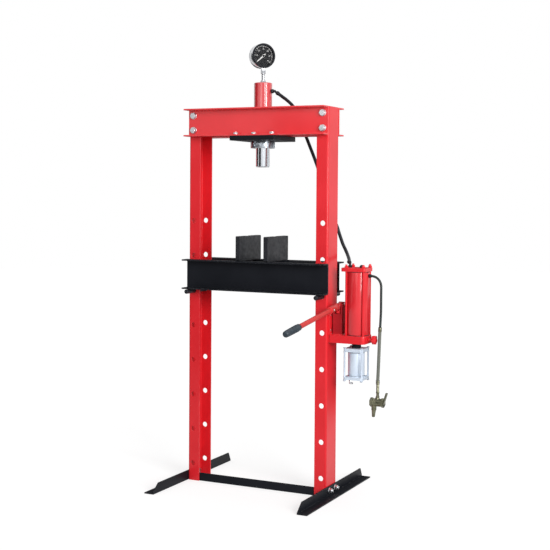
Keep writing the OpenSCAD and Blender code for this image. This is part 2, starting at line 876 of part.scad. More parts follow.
module tie_rods() {
  rise = 14;
  color([0.55, 0.12, 0.13])
    at_tie_rods(0) {
      translate([0, 0, pump_top - tie_seat])
        cylinder(d = tie_d, h = tie_seat + tank_h + tank_cap_t + rise);
      translate([0, 0, cap_top]) hex(14, 8);
    }
}

module tank_plug() {
  color([0.20, 0.20, 0.21])
    translate([plug[0], plug[1], cap_top]) {
      translate([0, 0, 1 - port_depth]) cylinder(d = plug_d - 2 * fit, h = port_depth);
      hex(17, 7);
      translate([0, 0, 6]) cylinder(d = 12, h = 5);
    }
}

module plunger_block() {
  cheek_x = lug_t / 2 + lug_play;
  guard_x = fork_pin_l / 2 + guard_play;
  guard_w = block_w / 2 + fulcrum_y - 12;
  color([0.62, 0.10, 0.11])
    difference() {
      union() {
        translate([block_x0, -block_w / 2, pump_top])
          cube([block_x1 - block_x0, block_w, block_top - pump_top]);
        for (s = [-1, 1])
          translate([lever_x + s * (cheek_x + cheek_t / 2) - cheek_t / 2, fulcrum_y, 0]) {
            translate([0, 0, fulcrum_z]) rotate([0, 90, 0]) cylinder(r = 10, h = cheek_t);
            translate([0, -10, block_top - eps])
              cube([cheek_t, 14, fulcrum_z - block_top + eps]);
          }
        // walls on both sides of the fork
        for (x = [block_x0, lever_x + guard_x])
          translate([x, -block_w / 2, block_top - eps])
            cube([lever_x - guard_x - block_x0, guard_w, fulcrum_z - block_top + eps]);
      }
      translate([0, fulcrum_y, fulcrum_z])
        rod_x(fulcrum_d + 2 * fit, lever_x - 30, lever_x + 30);
      translate([lever_x, plunger_y, pump_top + 10])
        cylinder(d = plunger_d + 2 * fit, h = block_top);
    }
}

module plunger() {
  fork_bottom = block_top + 2;
  fork_top = lever_pin_z + 9;
  color([0.60, 0.10, 0.11])
    difference() {
      union() {
        translate([lever_x, plunger_y, pump_top + 14])
          cylinder(d = plunger_d, h = fork_bottom - pump_top - 13);
        translate([lever_x, plunger_y, fork_bottom]) cylinder(d = fork_w, h = fork_top - fork_bottom);
        translate([0, plunger_y, lever_pin_z])
          rod_x(lever_pin_d, lever_x - fork_pin_l / 2, lever_x + fork_pin_l / 2);
      }
      difference() {
        translate([lever_x - lug_t / 2 - lug_play, plunger_y - fork_w, lever_pin_z - 19])
          cube([lug_t + 2 * lug_play, 2 * fork_w, 40]);
        translate([0, plunger_y, lever_pin_z]) rod_x(lever_pin_d, lever_x - fork_w, lever_x + fork_w);
      }
    }
}

module fulcrum_pin() {
  end = lug_t / 2 + lug_play + cheek_t;
  color([0.70, 0.71, 0.73])
    translate([0, fulcrum_y, fulcrum_z]) {
      rod_x(fulcrum_d, lever_x - end - 3, lever_x + end);
      rod_x(fulcrum_d + 5, lever_x + end, lever_x + end + 3);
    }
}

// The lever's own frame: pivot at the origin, +X along the lever, +Z up
module at_lever() {
  translate([lever_x, fulcrum_y, fulcrum_z]) rotate([0, lever_slope, -90]) children();
}

module lever() {
  slot_r = lever_pin_d / 2 + slot_play;
  slot_end = lever_pin_r * cos(lever_slope) / cos(lever_lift - lever_slope);
  color([0.83, 0.16, 0.17])
    at_lever() difference() {
      union() {
        translate([0, lug_t / 2, 0]) rotate([90, 0, 0]) cylinder(r = lug_h / 2, h = lug_t);
        translate([0, -lug_t / 2, -lug_h / 2]) cube([socket_start + 6, lug_t, lug_h]);
        rod_x(socket_d, socket_start, socket_start + socket_l);
        rod_x(lever_d, socket_start + socket_l - eps, lever_l - 8);
      }
      translate([0, lug_t, 0]) rotate([90, 0, 0]) cylinder(d = fulcrum_d + 2 * fit, h = 2 * lug_t);
      for (x = [lever_pin_r, slot_end])
        translate([x, lug_t, 0]) rotate([90, 0, 0]) cylinder(r = slot_r, h = 2 * lug_t);
      translate([lever_pin_r, -lug_t, -slot_r]) cube([slot_end - lever_pin_r, 2 * lug_t, 2 * slot_r]);
      rod_x(lever_d - 5, socket_start + 16, lever_l - 10);
    }
}

module lever_grip() {
  tip = 5;
  taper = 2;
  color([0.10, 0.11, 0.12])
    at_lever() difference() {
      union() {
        translate([lever_l - grip_l, 0, 0]) rotate([0, 90, 0])
          cylinder(d1 = grip_d, d2 = grip_d - taper, h = grip_l - tip);
        translate([lever_l - tip, 0, 0]) rotate([0, 90, 0])
          cylinder(d1 = grip_d - taper, d2 = grip_d - taper - 2 * tip, h = tip);
      }
      rod_x(lever_d + 2 * fit, lever_l - grip_l - eps, lever_l - 7.5);
    }
}

module release_valve() {
  face = pump_x + tank_cap_w / 2;
  lobes = 5;
  knob_r = 18;
  color([0.70, 0.10, 0.12])
    translate([face, 0, release_z])
      difference() {
        union() {
          rod_x(release_d, -32, 20);
          rod_x(16, 1, 8);
          rod_x(2 * knob_r, 18, 34);
        }
        for (k = [0 : lobes - 1])
          rotate([k * 360 / lobes, 0, 0]) translate([17, 0, knob_r + 3])
            rotate([0, 90, 0]) cylinder(d = 14, h = 18);
      }
}

// Air motor

module motor_neck() {
  color([0.12, 0.05, 0.06])
    translate([motor_x, 0, pump_z - neck_h])
      difference() {
        cylinder(d = 38, h = neck_h);
        translate([0, 0, -eps]) cylinder(d = piston_rod_d + 2, h = neck_h + 2 * eps);
      }
}

// Places its children at the air motor's four rods, at height z
module at_motor_rods(z) {
  for (x = [-1, 1], y = [-1, 1]) translate([motor_x + x * motor_rod, y * motor_rod, z]) children();
}

module motor_top() {
  color([0.70, 0.73, 0.76])
    difference() {
      translate([motor_x, 0, motor_top_z]) cut_corner_plate(motor_w, 7, motor_top_t);
      translate([motor_x, 0, motor_top_z - eps])
        cylinder(d = piston_rod_d + 2 * fit, h = motor_top_t + 2 * eps);
      at_motor_rods(motor_top_z - eps) cylinder(d = motor_rod_d + 2 * fit, h = motor_top_t + 2 * eps);
    }
}

module motor_barrel() {
  color([0.80, 0.84, 0.88])
    translate([motor_x, 0, motor_barrel_z])
      difference() {
        cylinder(d = motor_d, h = motor_h);
        translate([0, 0, -eps]) cylinder(d = motor_bore_d, h = motor_h + 2 * eps);
      }
}

module motor_bottom() {
  color([0.68, 0.71, 0.74])
    difference() {
      translate([motor_x, 0, motor_bottom_z]) cut_corner_plate(motor_w, 7, motor_bottom_t);
      at_motor_rods(motor_bottom_z - eps)
        cylinder(d = motor_rod_d + 2 * fit, h = motor_bottom_t + 2 * eps);
      translate([motor_x - drain_x, -drain_y, motor_bottom_z - eps])
        cylinder(d = drain_d + 2 * fit, h = motor_bottom_t - 2 + eps);
    }
}

module motor_rods() {
  h = motor_top_z + motor_top_t - motor_bottom_z;
  color([0.72, 0.70, 0.73])
    at_motor_rods(motor_bottom_z) {
      translate([0, 0, -7]) cylinder(d = motor_rod_d, h = h + 7);
      translate([0, 0, h]) hex(11, 4);
      translate([0, 0, -5]) hex(11, 5);
    }
}

module motor_drain() {
  color([0.75, 0.76, 0.78])
    translate([motor_x - drain_x, -drain_y, motor_bottom_z]) {
      translate([0, 0, -16]) cylinder(d = drain_d, h = 16 + motor_bottom_t - 4);
      translate([0, 0, -16]) sphere(d = drain_d);
      translate([0, 0, -16]) rod_x(drain_d, 0, 12);
    }
}

module motor_piston() {
  piston_z = motor_barrel_z + 10;
  color([0.60, 0.62, 0.65])
    translate([motor_x, 0, piston_z]) {
      cylinder(d = motor_bore_d - 2 * fit, h = 14);
      cylinder(d = piston_rod_d, h = pump_z + 10 - piston_z);
    }
}

// Air line: a rubber hose out of the tank, a braided hose below it and a brass valve on its end

air_outlet_x = pump_x + tank_d / 2;
air_start = [air_outlet_x + 12, 0, outlet_z];
// Route of the rubber hose, from where it leaves its fitting
air_points = [
  [0, 0, 0], [10, 0, -1.2], [20.5, 0, -5.2], [29.5, 0, -12], [36.3, 0, -21], [40.5, 0, -31.5],
  [42, 0, -44], [42, 0, -65], [42, 0, -90], [42, 0, -115], [42, 0, -140], [41, 0, -165],
  [40, 0, -188], [39, 0, -207]
];
// Route of the braided hose, from the same place
braid_points = [
  [38, 0, -225], [37, 0, -255], [36, 0, -285], [35, 0, -315], [34, 0, -345], [33, 0, -375],
  [32, 0, -400], [31, 0, -423]
];
joint_aim = braid_points[0] - air_points[len(air_points) - 1];

module air_outlet() {
  color([0.35, 0.35, 0.36]) {
    translate([0, 0, outlet_z]) rod_x(8 - 2 * fit, air_outlet_x - 3, air_outlet_x + 2);
    translate([air_outlet_x + clear, 0, outlet_z]) rotate([0, 90, 0]) hex(14, 7);
    translate([0, 0, outlet_z]) rod_x(12, air_outlet_x + 6, air_start[0]);
  }
}

module air_hose() {
  color([0.07, 0.08, 0.08])
    swept_tube([for (p = air_points) air_start + p], air_d, hose_sides, [1, 0, 0], joint_aim);
}

module air_hose_braided() {
  color([0.42, 0.43, 0.38])
    swept_tube([for (p = braid_points) air_start + p], braid_d, hose_sides, joint_aim, [0, 0, -1]);
}

// The ferrule between the rubber hose and the braided hose
module air_joint() {
  top = air_start + air_points[len(air_points) - 1];
  color([0.80, 0.78, 0.70]) translate(top) aim(joint_aim) cylinder(d = 14, h = norm(joint_aim));
}

module air_valve() {
  stem_l = 74;
  low = air_start + braid_points[len(braid_points) - 1];
  body = low - [1, 0, stem_l + 16];
  color([0.46, 0.45, 0.32]) {
    // stem
    translate(low) aim([0, 0, -1]) cylinder(d = 12, h = stem_l);
    translate(low - [0, 0, stem_l - 22]) cylinder(d = 14, h = 6);
    // valve body
    translate(body) {
      rod_x(32, -22, 22);
      for (x = [-29, 18]) translate([x, 0, 0]) rotate([0, 90, 0]) hex(34, 11);
      cylinder(d = 18, h = 20);
      // outlet coupler
      translate([-13, 0, 0]) aim([-0.06, 0, -1]) {
        cylinder(d = 20, h = 32);
        translate([0, 0, 32]) cylinder(d1 = 18, d2 = 12, h = 28);
      }
      // handle
      translate([26, 0, -6]) aim([0.3, 0, 1]) translate([-3, -8, 0]) cube([6, 16, 49]);
    }
  }
}

column(-1);  // column_left
column(1);  // column_right
head_beam(-1);  // head_front
head_beam(1);  // head_rear
head_bolts();
head_nuts();
foot(-1);  // foot_left
foot(1);  // foot_right
foot_bolts();
foot_nuts();
crossbar();
bed_beam(-1);  // bed_front
bed_beam(1);  // bed_rear
bed_spacers();
bed_pin(-1);  // bed_pin_left
bed_pin(1);  // bed_pin_right
arbor_plate(-1);  // arbor_plate_left
arbor_plate(1);  // arbor_plate_right
ram_plate();
ram_plate_bolts();
barrel();
ring_nut();
gland();
ram();
piston_seal();
return_spring();
gauge_adapter();
gauge_case();
gauge_bezel();
gauge_dial();
gauge_pointer();
gauge_glass();
cylinder_fitting();
hydraulic_hose();
pump_fitting();
pump_bracket();
bracket_bolts();
pump_base();
tank();
tank_cap();
tie_rods();
tank_plug();
plunger_block();
plunger();
fulcrum_pin();
lever();
lever_grip();
release_valve();
motor_neck();
motor_top();
motor_barrel();
motor_bottom();
motor_rods();
motor_piston();
motor_drain();
air_outlet();
air_hose();
air_joint();
air_hose_braided();
air_valve();
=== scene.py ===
# The looks of an H-frame hydraulic press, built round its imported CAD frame. Metres, +Z up.
import json
import math

import bmesh
import bpy
from mathutils import Matrix, Vector


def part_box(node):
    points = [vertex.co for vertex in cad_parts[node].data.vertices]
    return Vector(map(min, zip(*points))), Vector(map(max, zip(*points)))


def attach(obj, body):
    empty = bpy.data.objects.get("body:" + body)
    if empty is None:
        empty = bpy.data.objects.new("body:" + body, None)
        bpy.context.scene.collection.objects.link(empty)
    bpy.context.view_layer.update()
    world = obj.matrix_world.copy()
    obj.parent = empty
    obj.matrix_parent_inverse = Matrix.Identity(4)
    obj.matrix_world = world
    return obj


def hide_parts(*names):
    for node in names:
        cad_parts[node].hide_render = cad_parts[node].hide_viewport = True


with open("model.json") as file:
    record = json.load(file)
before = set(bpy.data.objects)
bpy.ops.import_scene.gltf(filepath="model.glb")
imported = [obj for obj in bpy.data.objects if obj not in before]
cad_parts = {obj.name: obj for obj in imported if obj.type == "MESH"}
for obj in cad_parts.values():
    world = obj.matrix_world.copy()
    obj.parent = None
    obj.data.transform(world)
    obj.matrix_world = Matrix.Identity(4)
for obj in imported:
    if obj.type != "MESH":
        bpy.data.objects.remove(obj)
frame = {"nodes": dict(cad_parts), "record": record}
for name in ("Cube", "Light", "Camera"):
    if name in bpy.data.objects:
        bpy.data.objects.remove(bpy.data.objects[name], do_unlink=True)
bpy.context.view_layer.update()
NODES = frame["nodes"]


# ---------------------------------------------------------------- camera, floor and light

def aim_camera():
    """The camera: in front and to the right, at chest height, looking slightly down."""
    place = Vector((2.1704, -4.3791, 1.2524))
    turn, tilt, roll = math.radians(25.73), math.radians(-1.9), math.radians(0.38)
    data = bpy.data.cameras.new("camera")
    data.sensor_width = 36.0
    data.lens = 75.58
    data.shift_y = -0.0819
    data.clip_start, data.clip_end = 0.1, 100.0
    camera = bpy.data.objects.new("camera", data)
    camera.matrix_world = (
        Matrix.Translation(place)
        @ Matrix.Rotation(turn, 4, "Z")
        @ Matrix.Rotation(math.pi / 2 + tilt, 4, "X")
        @ Matrix.Rotation(roll, 4, "Z")
    )
    bpy.context.collection.objects.link(camera)
    bpy.context.scene.camera = camera


# each lamp: where it stands, where it aims, its size in metres and its power in watts
LAMPS = {
    "key": ((4.6, -3.2, 2.3), (0, 0, 0.85), (2.8, 2.4), 305),
    "fill": ((-0.6, -5.4, 2.0), (0, 0, 0.8), (3.0, 3.0), 44),
    "top": ((0, 0.4, 4.6), (0, 0, 0), (2.4, 2.4), 40),
}
# each black card: where it stands, where it faces, its width and height
FLAGS = {
    "flag_left": ((-3.0, -0.6, 1.2), (0, 0, 1.2), (3.0, 3.4)),
    "flag_back": ((-1.6, 3.2, 1.2), (0, 0, 0.8), (3.0, 2.6)),
    "flag_low_right": ((1.05, 1.6, 0.34), (0.3, 0, 0.34), (1.9, 0.68)),
    "flag_ram_right": ((2.35, 1.75, 1.5), (0, 0, 1.4), (1.0, 1.0)),
    "flag_ram_left": ((-0.85, -2.90, 1.55), (0, 0, 1.4), (0.8, 0.5)),
    "flag_front": ((-1.0, -3.05, 0.7), (0, 0, 0.7), (2.6, 1.4)),
}
WORLD_LIGHT = 0.42
FLOOR_RADIUS = 14
FLOOR_COLOUR = 0.42
FLOOR_WHITE = 1.03    # what the lit floor comes to where no shadow falls


def area_light(name, place, target, size, power):
    data = bpy.data.lights.new(name, "AREA")
    data.shape = "RECTANGLE"
    data.size, data.size_y = size
    data.energy = power
    lamp = bpy.data.objects.new(name, data)
    lamp.location = place
    lamp.rotation_euler = (Vector(target) - Vector(place)).to_track_quat("-Z", "Y").to_euler()
    bpy.context.collection.objects.link(lamp)


def seen_directly(tree):
    """1 for what the camera sees itself, in a reflection or through glass, and 0 for the rest."""
    path = tree.nodes.new("ShaderNodeLightPath")
    total = tree.nodes.new("ShaderNodeMath")
    total.operation = "ADD"
    tree.links.new(path.outputs["Is Camera Ray"], total.inputs[0])
    tree.links.new(path.outputs["Is Glossy Ray"], total.inputs[1])
    clipped = tree.nodes.new("ShaderNodeMath")
    clipped.operation = "ADD"
    clipped.use_clamp = True
    tree.links.new(total.outputs[0], clipped.inputs[0])
    tree.links.new(path.outputs["Is Transmission Ray"], clipped.inputs[1])
    return clipped.outputs[0]


def background(tree, strength):
    made = tree.nodes.new("ShaderNodeBackground")
    made.inputs["Color"].default_value = (1, 1, 1, 1)
    made.inputs["Strength"].default_value = strength
    return made.outputs[0]


def make_world():
    """A world that looks white and lights the press with less than that."""
    world = bpy.data.worlds.new("studio")
    world.use_nodes = True
    tree = world.node_tree
    tree.nodes.clear()
    out = tree.nodes.new("ShaderNodeOutputWorld")
    mix = tree.nodes.new("ShaderNodeMixShader")
    tree.links.new(seen_directly(tree), mix.inputs["Fac"])
    tree.links.new(background(tree, WORLD_LIGHT), mix.inputs[1])
    tree.links.new(background(tree, 1.0), mix.inputs[2])
    tree.links.new(mix.outputs[0], out.inputs["Surface"])
    bpy.context.scene.world = world


def floor_glow(tree):
    """What the lamps and the world leave short of white on the open floor. It takes no account
    of shadows, so they stay."""
    def step(kind, operation, *values):
        made = tree.nodes.new(kind)
        made.operation = operation
        for socket, value in zip(made.inputs, values):
            if isinstance(value, bpy.types.NodeSocket):
                tree.links.new(value, socket)
            else:
                socket.default_value = value
        return made.outputs

    here = tree.nodes.new("ShaderNodeNewGeometry").outputs["Position"]
    left = FLOOR_WHITE - FLOOR_COLOUR * WORLD_LIGHT
    for place, target, size, power in LAMPS.values():
        aim = (Vector(place) - Vector(target)).normalized()
        ray = step("ShaderNodeVectorMath", "SUBTRACT", place, here)["Vector"]
        ahead = step("ShaderNodeVectorMath", "DOT_PRODUCT", ray, tuple(aim))["Value"]
        ahead = step("ShaderNodeMath", "MAXIMUM", ahead, 0.0)[0]
        far = step("ShaderNodeVectorMath", "DOT_PRODUCT", ray, ray)["Value"]
        spread = step("ShaderNodeMath", "ADD", far, size[0] * size[1] / 3)[0]
        # one over the distance's fourth power: its square for the spread of the light, and
        # once more for each of the two slants, which are ahead and the lamp's height over it
        fall = step("ShaderNodeMath", "POWER", spread, -2.0)[0]
        strength = FLOOR_COLOUR * power / math.pi**2 * place[2]
        light = step("ShaderNodeMath", "MULTIPLY", ahead, fall)[0]
        light = step("ShaderNodeMath", "MULTIPLY", light, strength)[0]
        left = step("ShaderNodeMath", "SUBTRACT", left, light)[0]
    return step("ShaderNodeMath", "MAXIMUM", left, 0.0)[0]


def make_floor():
    """A pale floor that keeps the press's shadow and otherwise meets the white background."""
    bpy.ops.mesh.primitive_circle_add(vertices=96, radius=FLOOR_RADIUS, fill_type="NGON")
    floor = bpy.context.object
    floor.name = "floor"
    material = bpy.data.materials.new("floor")
    material.use_nodes = True
    tree = material.node_tree
    tree.nodes.clear()
    out = tree.nodes.new("ShaderNodeOutputMaterial")
    add = tree.nodes.new("ShaderNodeAddShader")
    matt = tree.nodes.new("ShaderNodeBsdfDiffuse")
    matt.inputs["Color"].default_value = (FLOOR_COLOUR, FLOOR_COLOUR, FLOOR_COLOUR, 1)
    glow = tree.nodes.new("ShaderNodeEmission")
    glow.inputs["Color"].default_value = (1, 1, 1, 1)
    scale = tree.nodes.new("ShaderNodeMath")
    scale.operation = "MULTIPLY"
    tree.links.new(seen_directly(tree), scale.inputs[0])
    tree.links.new(floor_glow(tree), scale.inputs[1])
    tree.links.new(scale.outputs[0], glow.inputs["Strength"])
    tree.links.new(matt.outputs[0], add.inputs[0])
    tree.links.new(glow.outputs[0], add.inputs[1])
    tree.links.new(add.outputs[0], out.inputs["Surface"])
    floor.data.materials.append(material)


def make_flag(name, place, target, size):
    """A black card that only reflections show, to give the metals dark edges."""
    made = bmesh.new()
    x, y = size[0] / 2, size[1] / 2
    made.faces.new([made.verts.new(p) for p in ((-x, -y, 0), (x, -y, 0), (x, y, 0), (-x, y, 0))])
    mesh = bpy.data.meshes.new(name)
    made.to_mesh(mesh)
    made.free()
    material = bpy.data.materials.new(name)
    material.use_nodes = True
    surface = material.node_tree.nodes["Principled BSDF"]
    surface.inputs["Base Color"].default_value = (0.01, 0.01, 0.01, 1)
    surface.inputs["Roughness"].default_value = 0.9
    mesh.materials.append(material)
    flag = bpy.data.objects.new(name, mesh)
    flag.location = place
    flag.rotation_euler = (Vector(target) - Vector(place)).to_track_quat("Z", "Y").to_euler()
    flag.visible_camera = False
    flag.visible_shadow = False
    flag.visible_diffuse = False
    bpy.context.collection.objects.link(flag)


def light_studio():
    """The world, the floor, the lamps and the black cards."""
    make_world()
    make_floor()
    for name, lamp in LAMPS.items():
        area_light(name, *lamp)
    for name, flag in FLAGS.items():
        make_flag(name, *flag)
    bpy.context.scene.view_settings.view_transform = "Standard"


# ---------------------------------------------------------------- mesh helpers

def smooth_line(points, step):
    """Points about one step apart on a smooth curve through the given points."""
    points = [Vector(p) for p in points]
    padded = [2 * points[0] - points[1], *points, 2 * points[-1] - points[-2]]
    line = []
    for a, b, c, d in zip(padded, padded[1:], padded[2:], padded[3:]):
        count = max(1, round((c - b).length / step))
        for k in range(count):
            t = k / count
            line.append(
                0.5 * (2 * b + (c - a) * t + (2 * a - 5 * b + 4 * c - d) * t**2
                       + (3 * b - a - 3 * c + d) * t**3)
            )
    return [*line, points[-1]]


def walk(line):
    """For each point of a line: the distance along it, the point and the line's direction."""
    distance = 0.0
    for i, point in enumerate(line):
        if i:
            distance += (point - line[i - 1]).length
        ahead = line[min(i + 1, len(line) - 1)] - line[max(i - 1, 0)]
        yield distance, point, ahead.normalized()


def skin(made, rings):
    """Joins each ring of vertices to the next."""
    for low, high in zip(rings, rings[1:]):
        for k in range(len(low)):
            n = (k + 1) % len(low)
            made.faces.new((low[k], low[n], high[n], high[k]))


def new_piece(name, mesh, material, body):
    """A smooth-shaded object that rides on a body."""
    obj = bpy.data.objects.new(name, mesh)
    bpy.context.collection.objects.link(obj)
    for face in mesh.polygons:
        face.use_smooth = True
    mesh.materials.append(material)
    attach(obj, body)
    return obj


def tube_mesh(name, line, radius, sides):
    """A closed tube round a line. radius is a number or a function of (distance, angle).
    Each point keeps its distance along and its angle round the line, for the materials."""
    made = bmesh.new()
    along = made.verts.layers.float.new("along")
    around = made.verts.layers.float.new("around")
    width = radius if callable(radius) else lambda s, a: radius
    rings = []
    normal = Vector((0, 1, 0))
    for distance, point, heading in walk(line):
        normal = (normal - normal.dot(heading) * heading).normalized()
        side = heading.cross(normal)
        ring = []
        for k in range(sides):
            angle = 2 * math.pi * k / sides
            r = width(distance, angle)
            vert = made.verts.new(point + r * (math.cos(angle) * normal + math.sin(angle) * side))
            vert[along], vert[around] = distance, angle
            ring.append(vert)
        rings.append(ring)
    skin(made, rings)
    made.faces.new(reversed(rings[0]))
    made.faces.new(rings[-1])
    mesh = bpy.data.meshes.new(name)
    made.to_mesh(mesh)
    made.free()
    return mesh


# ---------------------------------------------------------------- cords

# the fittings on the cylinder and on the pump: where each stands, where it aims, how far it reaches
PORT = Vector((0.054, 0, 1.674))
PORT_AIM = Vector((0.46, 0.76, -0.46)).normalized()
PORT_REACH = 0.022
OUTLET = Vector((0.398, 0.010, 0.965))
OUTLET_AIM = Vector((-0.5, 0.87, 0)).normalized()
OUTLET_REACH = 0.034
# the hydraulic hose in millimetres: down behind the head from PORT, then to the pump from OUTLET
HOSE_TOP = [
    (19, 40, -22), (25, 64, -32), (30, 94, -45), (34, 106, -54), (40, 116, -66), (46, 122, -81),
    (53, 126, -96), (68, 128, -134), (85, 129, -178), (106, 130, -228), (125, 130, -272),
    (144, 131, -321), (161, 131, -371), (178, 132, -421), (194, 132, -471), (209, 133, -519),
]
HOSE_LOW = [
    (-112, 123, 145), (-102, 123, 117), (-91, 119, 92), (-79, 114, 67), (-63, 109, 40),
    (-49, 96, 21), (-36, 75, 10), (-27, 56, 4),
]
# the air line in millimetres from AIR_START: a smooth hose, then a braided one
AIR_START = Vector((0.496, 0, 0.913))
AIR_POINTS = [
    (0, 0, 0), (10, 0, -1.2), (20.5, 0, -5.2), (29.5, 0, -12), (36.3, 0, -21), (40.5, 0, -31.5),
    (42, 0, -44), (42, 0, -65), (42, 0, -90), (42, 0, -115), (42, 0, -140), (41, 0, -165),
    (40, 0, -188), (39, 0, -207),
]
BRAID_POINTS = [
    (38, 0, -225), (37, 0, -255), (36, 0, -285), (35, 0, -315), (34, 0, -345), (33, 0, -375),
    (32, 0, -400), (31, 0, -423),
]
HYDRAULIC_D, AIR_D, BRAID_D = 0.014, 0.010, 0.014
# the braid's strands: how many run each way, and how far along the hose one turn takes them
BRAID_STRANDS, BRAID_PITCH = 8, 0.034
# the braid's radius half way up its strands, and how far they stand above and below that
BRAID_MEAN, BRAID_WAVE = BRAID_D / 2 - 0.00045, 0.00035


def from_mm(start, points):
    return [start + Vector(p) / 1000 for p in points]


def hydraulic_route():
    """The hydraulic hose's centre line, from one fitting's end to the other's."""
    return [
        PORT + PORT_REACH * PORT_AIM,
        *from_mm(PORT, HOSE_TOP),
        *from_mm(OUTLET, HOSE_LOW),
        OUTLET + OUTLET_REACH * OUTLET_AIM,
    ]


def braid_radius(s, angle):
    """Strands that cross each other in two directions round the hose."""
    lead = 2 * math.pi * s / BRAID_PITCH
    over = math.sin(BRAID_STRANDS * (angle + lead)) * math.sin(BRAID_STRANDS * (angle - lead))
    return BRAID_MEAN + BRAID_WAVE * over


def make_cords():
    """The three hoses, each in place of its CAD node."""
    line = smooth_line(hydraulic_route(), 0.006)
    mesh = tube_mesh("hydraulic_hose_tube", line, HYDRAULIC_D / 2, 28)
    hose = new_piece("hydraulic_hose_tube", mesh, MATERIALS["hose_rubber"], "frame")
    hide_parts("hydraulic_hose")

    line = smooth_line(from_mm(AIR_START, AIR_POINTS), 0.004)
    mesh = tube_mesh("air_hose_tube", line, AIR_D / 2, 24)
    air = new_piece("air_hose_tube", mesh, MATERIALS["air_rubber"], "frame")
    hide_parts("air_hose")

    line = smooth_line(from_mm(AIR_START, BRAID_POINTS), 0.0006)
    mesh = tube_mesh("air_hose_braid", line, braid_radius, 96)
    braid = new_piece("air_hose_braid", mesh, MATERIALS["braided_cover"], "frame")
    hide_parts("air_hose_braided")


# ---------------------------------------------------------------- materials

class Shader:
    """A short way to wire a material's nodes."""

    def __init__(self, name):
        self.material = bpy.data.materials.new(name)
        self.material.use_nodes = True
        self.tree = self.material.node_tree
        self.surface = self.tree.nodes["Principled BSDF"]
        self.place = self.tree.nodes.new("ShaderNodeTexCoord").outputs["Object"]

    def set(self, **values):
        """Plain values for the surface's sockets."""
        for key, value in values.items():
            socket = self.surface.inputs[key.replace("_", " ")]
            socket.default_value = (*value, 1) if isinstance(value, tuple) else value
        return self

    def node(self, kind, inputs=None, **settings):
        """A new node. Each input is a plain value or another node's output."""
        made = self.tree.nodes.new(kind)
        for key, value in settings.items():
            setattr(made, key, value)
        for key, value in (inputs or {}).items():
            if isinstance(value, bpy.types.NodeSocket):
                self.tree.links.new(value, made.inputs[key])
            else:
                made.inputs[key].default_value = value
        return made

    def noise(self, scale, detail=3.0, rough=0.5, stretch=(1, 1, 1)):
        mapped = self.node("ShaderNodeMapping", {"Vector": self.place, "Scale": stretch})
        return self.node(
            "ShaderNodeTexNoise",
            {"Vector": mapped.outputs[0], "Scale": scale, "Detail": detail, "Roughness": rough},
        ).outputs["Fac"]

    def ramp(self, value, low, high, to_low=0.0, to_high=1.0):
        """A value from low..high, spread over to_low..to_high."""
        inputs = {"Value": value, "From Min": low, "From Max": high,
                  "To Min": to_low, "To Max": to_high}
        return self.node("ShaderNodeMapRange", inputs).outputs[0]

    def math(self, operation, a, b=0.0, clamp=False):
        made = self.node("ShaderNodeMath", {0: a, 1: b}, operation=operation, use_clamp=clamp)
        return made.outputs[0]

    def mix(self, factor, a, b):
        made = self.node("ShaderNodeMix", data_type="RGBA")
        for socket, value in ((made.inputs[0], factor), (made.inputs[6], a), (made.inputs[7], b)):
            if isinstance(value, bpy.types.NodeSocket):
                self.tree.links.new(value, socket)
            else:
                socket.default_value = (*value, 1) if isinstance(value, tuple) else value
        return made.outputs[2]

    def attribute(self, name):
        return self.node("ShaderNodeAttribute", attribute_name=name).outputs["Fac"]

    def edges(self, width):
        """1 on the sharp edges, falling to 0 about a width away from them."""
        flat = self.node("ShaderNodeNewGeometry").outputs["Normal"]
        rounded = self.node("ShaderNodeBevel", {"Radius": width}, samples=4).outputs["Normal"]
        alike = self.node("ShaderNodeVectorMath", {0: flat, 1: rounded}, operation="DOT_PRODUCT")
        return self.ramp(alike.outputs["Value"], 0.99, 0.86)

    def bump(self, height, distance, after=None):
        """Normals of a height map. after holds the normals of a bump below this one."""
        inputs = {"Height": height, "Distance": distance, "Strength": 1.0}
        if after is not None:
            inputs["Normal"] = after
        return self.node("ShaderNodeBump", inputs).outputs[0]

    def wire(self, **sockets):
        """Links node outputs to the surface's sockets and gives the finished material."""
        for key, socket in sockets.items():
            self.tree.links.new(socket, self.surface.inputs[key.replace("_", " ")])
        return self.material


def paint(name, colour, deep, roughness, coat, gloss, coat_ior):
    """Sprayed paint: a faint orange peel, and a paler tone on the edges, partly wear and partly a
    painted highlight.
    """
    s = Shader(name).set(Coat_Weight=coat, Coat_Roughness=0.12, Coat_IOR=coat_ior,
                         Specular_IOR_Level=gloss)
    cloud = s.noise(6, 4)
    fine = s.noise(90, 3)
    base = s.mix(s.ramp(cloud, 0.35, 0.65), colour, deep)
    # painted highlight and wear: the sharp edges take a paler tone in patches, standing mostly for
    # light caught on the edges
    wear_and_painted_highlight = s.math("MULTIPLY", s.edges(0.0022), s.ramp(fine, 0.42, 0.62), clamp=True)
    light = tuple(min(1.0, 0.8 * c + 0.13) for c in colour)
    tone_with_painted_highlight = s.mix(s.math("MULTIPLY", wear_and_painted_highlight, 0.7), base, light)
    shine = s.ramp(s.noise(9, 3, 0.45), 0.3, 0.7, roughness - 0.015, roughness + 0.02)
    peeled = s.bump(s.noise(420, 2), 0.00004)
    waved = s.bump(s.noise(20, 1), 0.00005, after=peeled)
    return s.wire(Base_Color=tone_with_painted_highlight, Roughness=shine, Normal=waved)


def grained(name, colour, deep, roughness, metallic):
    """A cloudy tone and a fine grain, for metals and for the rubber seal."""
    s = Shader(name).set(Metallic=metallic)
    base = s.mix(s.ramp(s.noise(22, 5, 0.65), 0.3, 0.7), colour, deep)
    shine = s.ramp(s.noise(60, 4), 0.3, 0.7, roughness - 0.08, roughness + 0.1)
    return s.wire(Base_Color=base, Roughness=shine, Normal=s.bump(s.noise(300, 3), 0.00004))


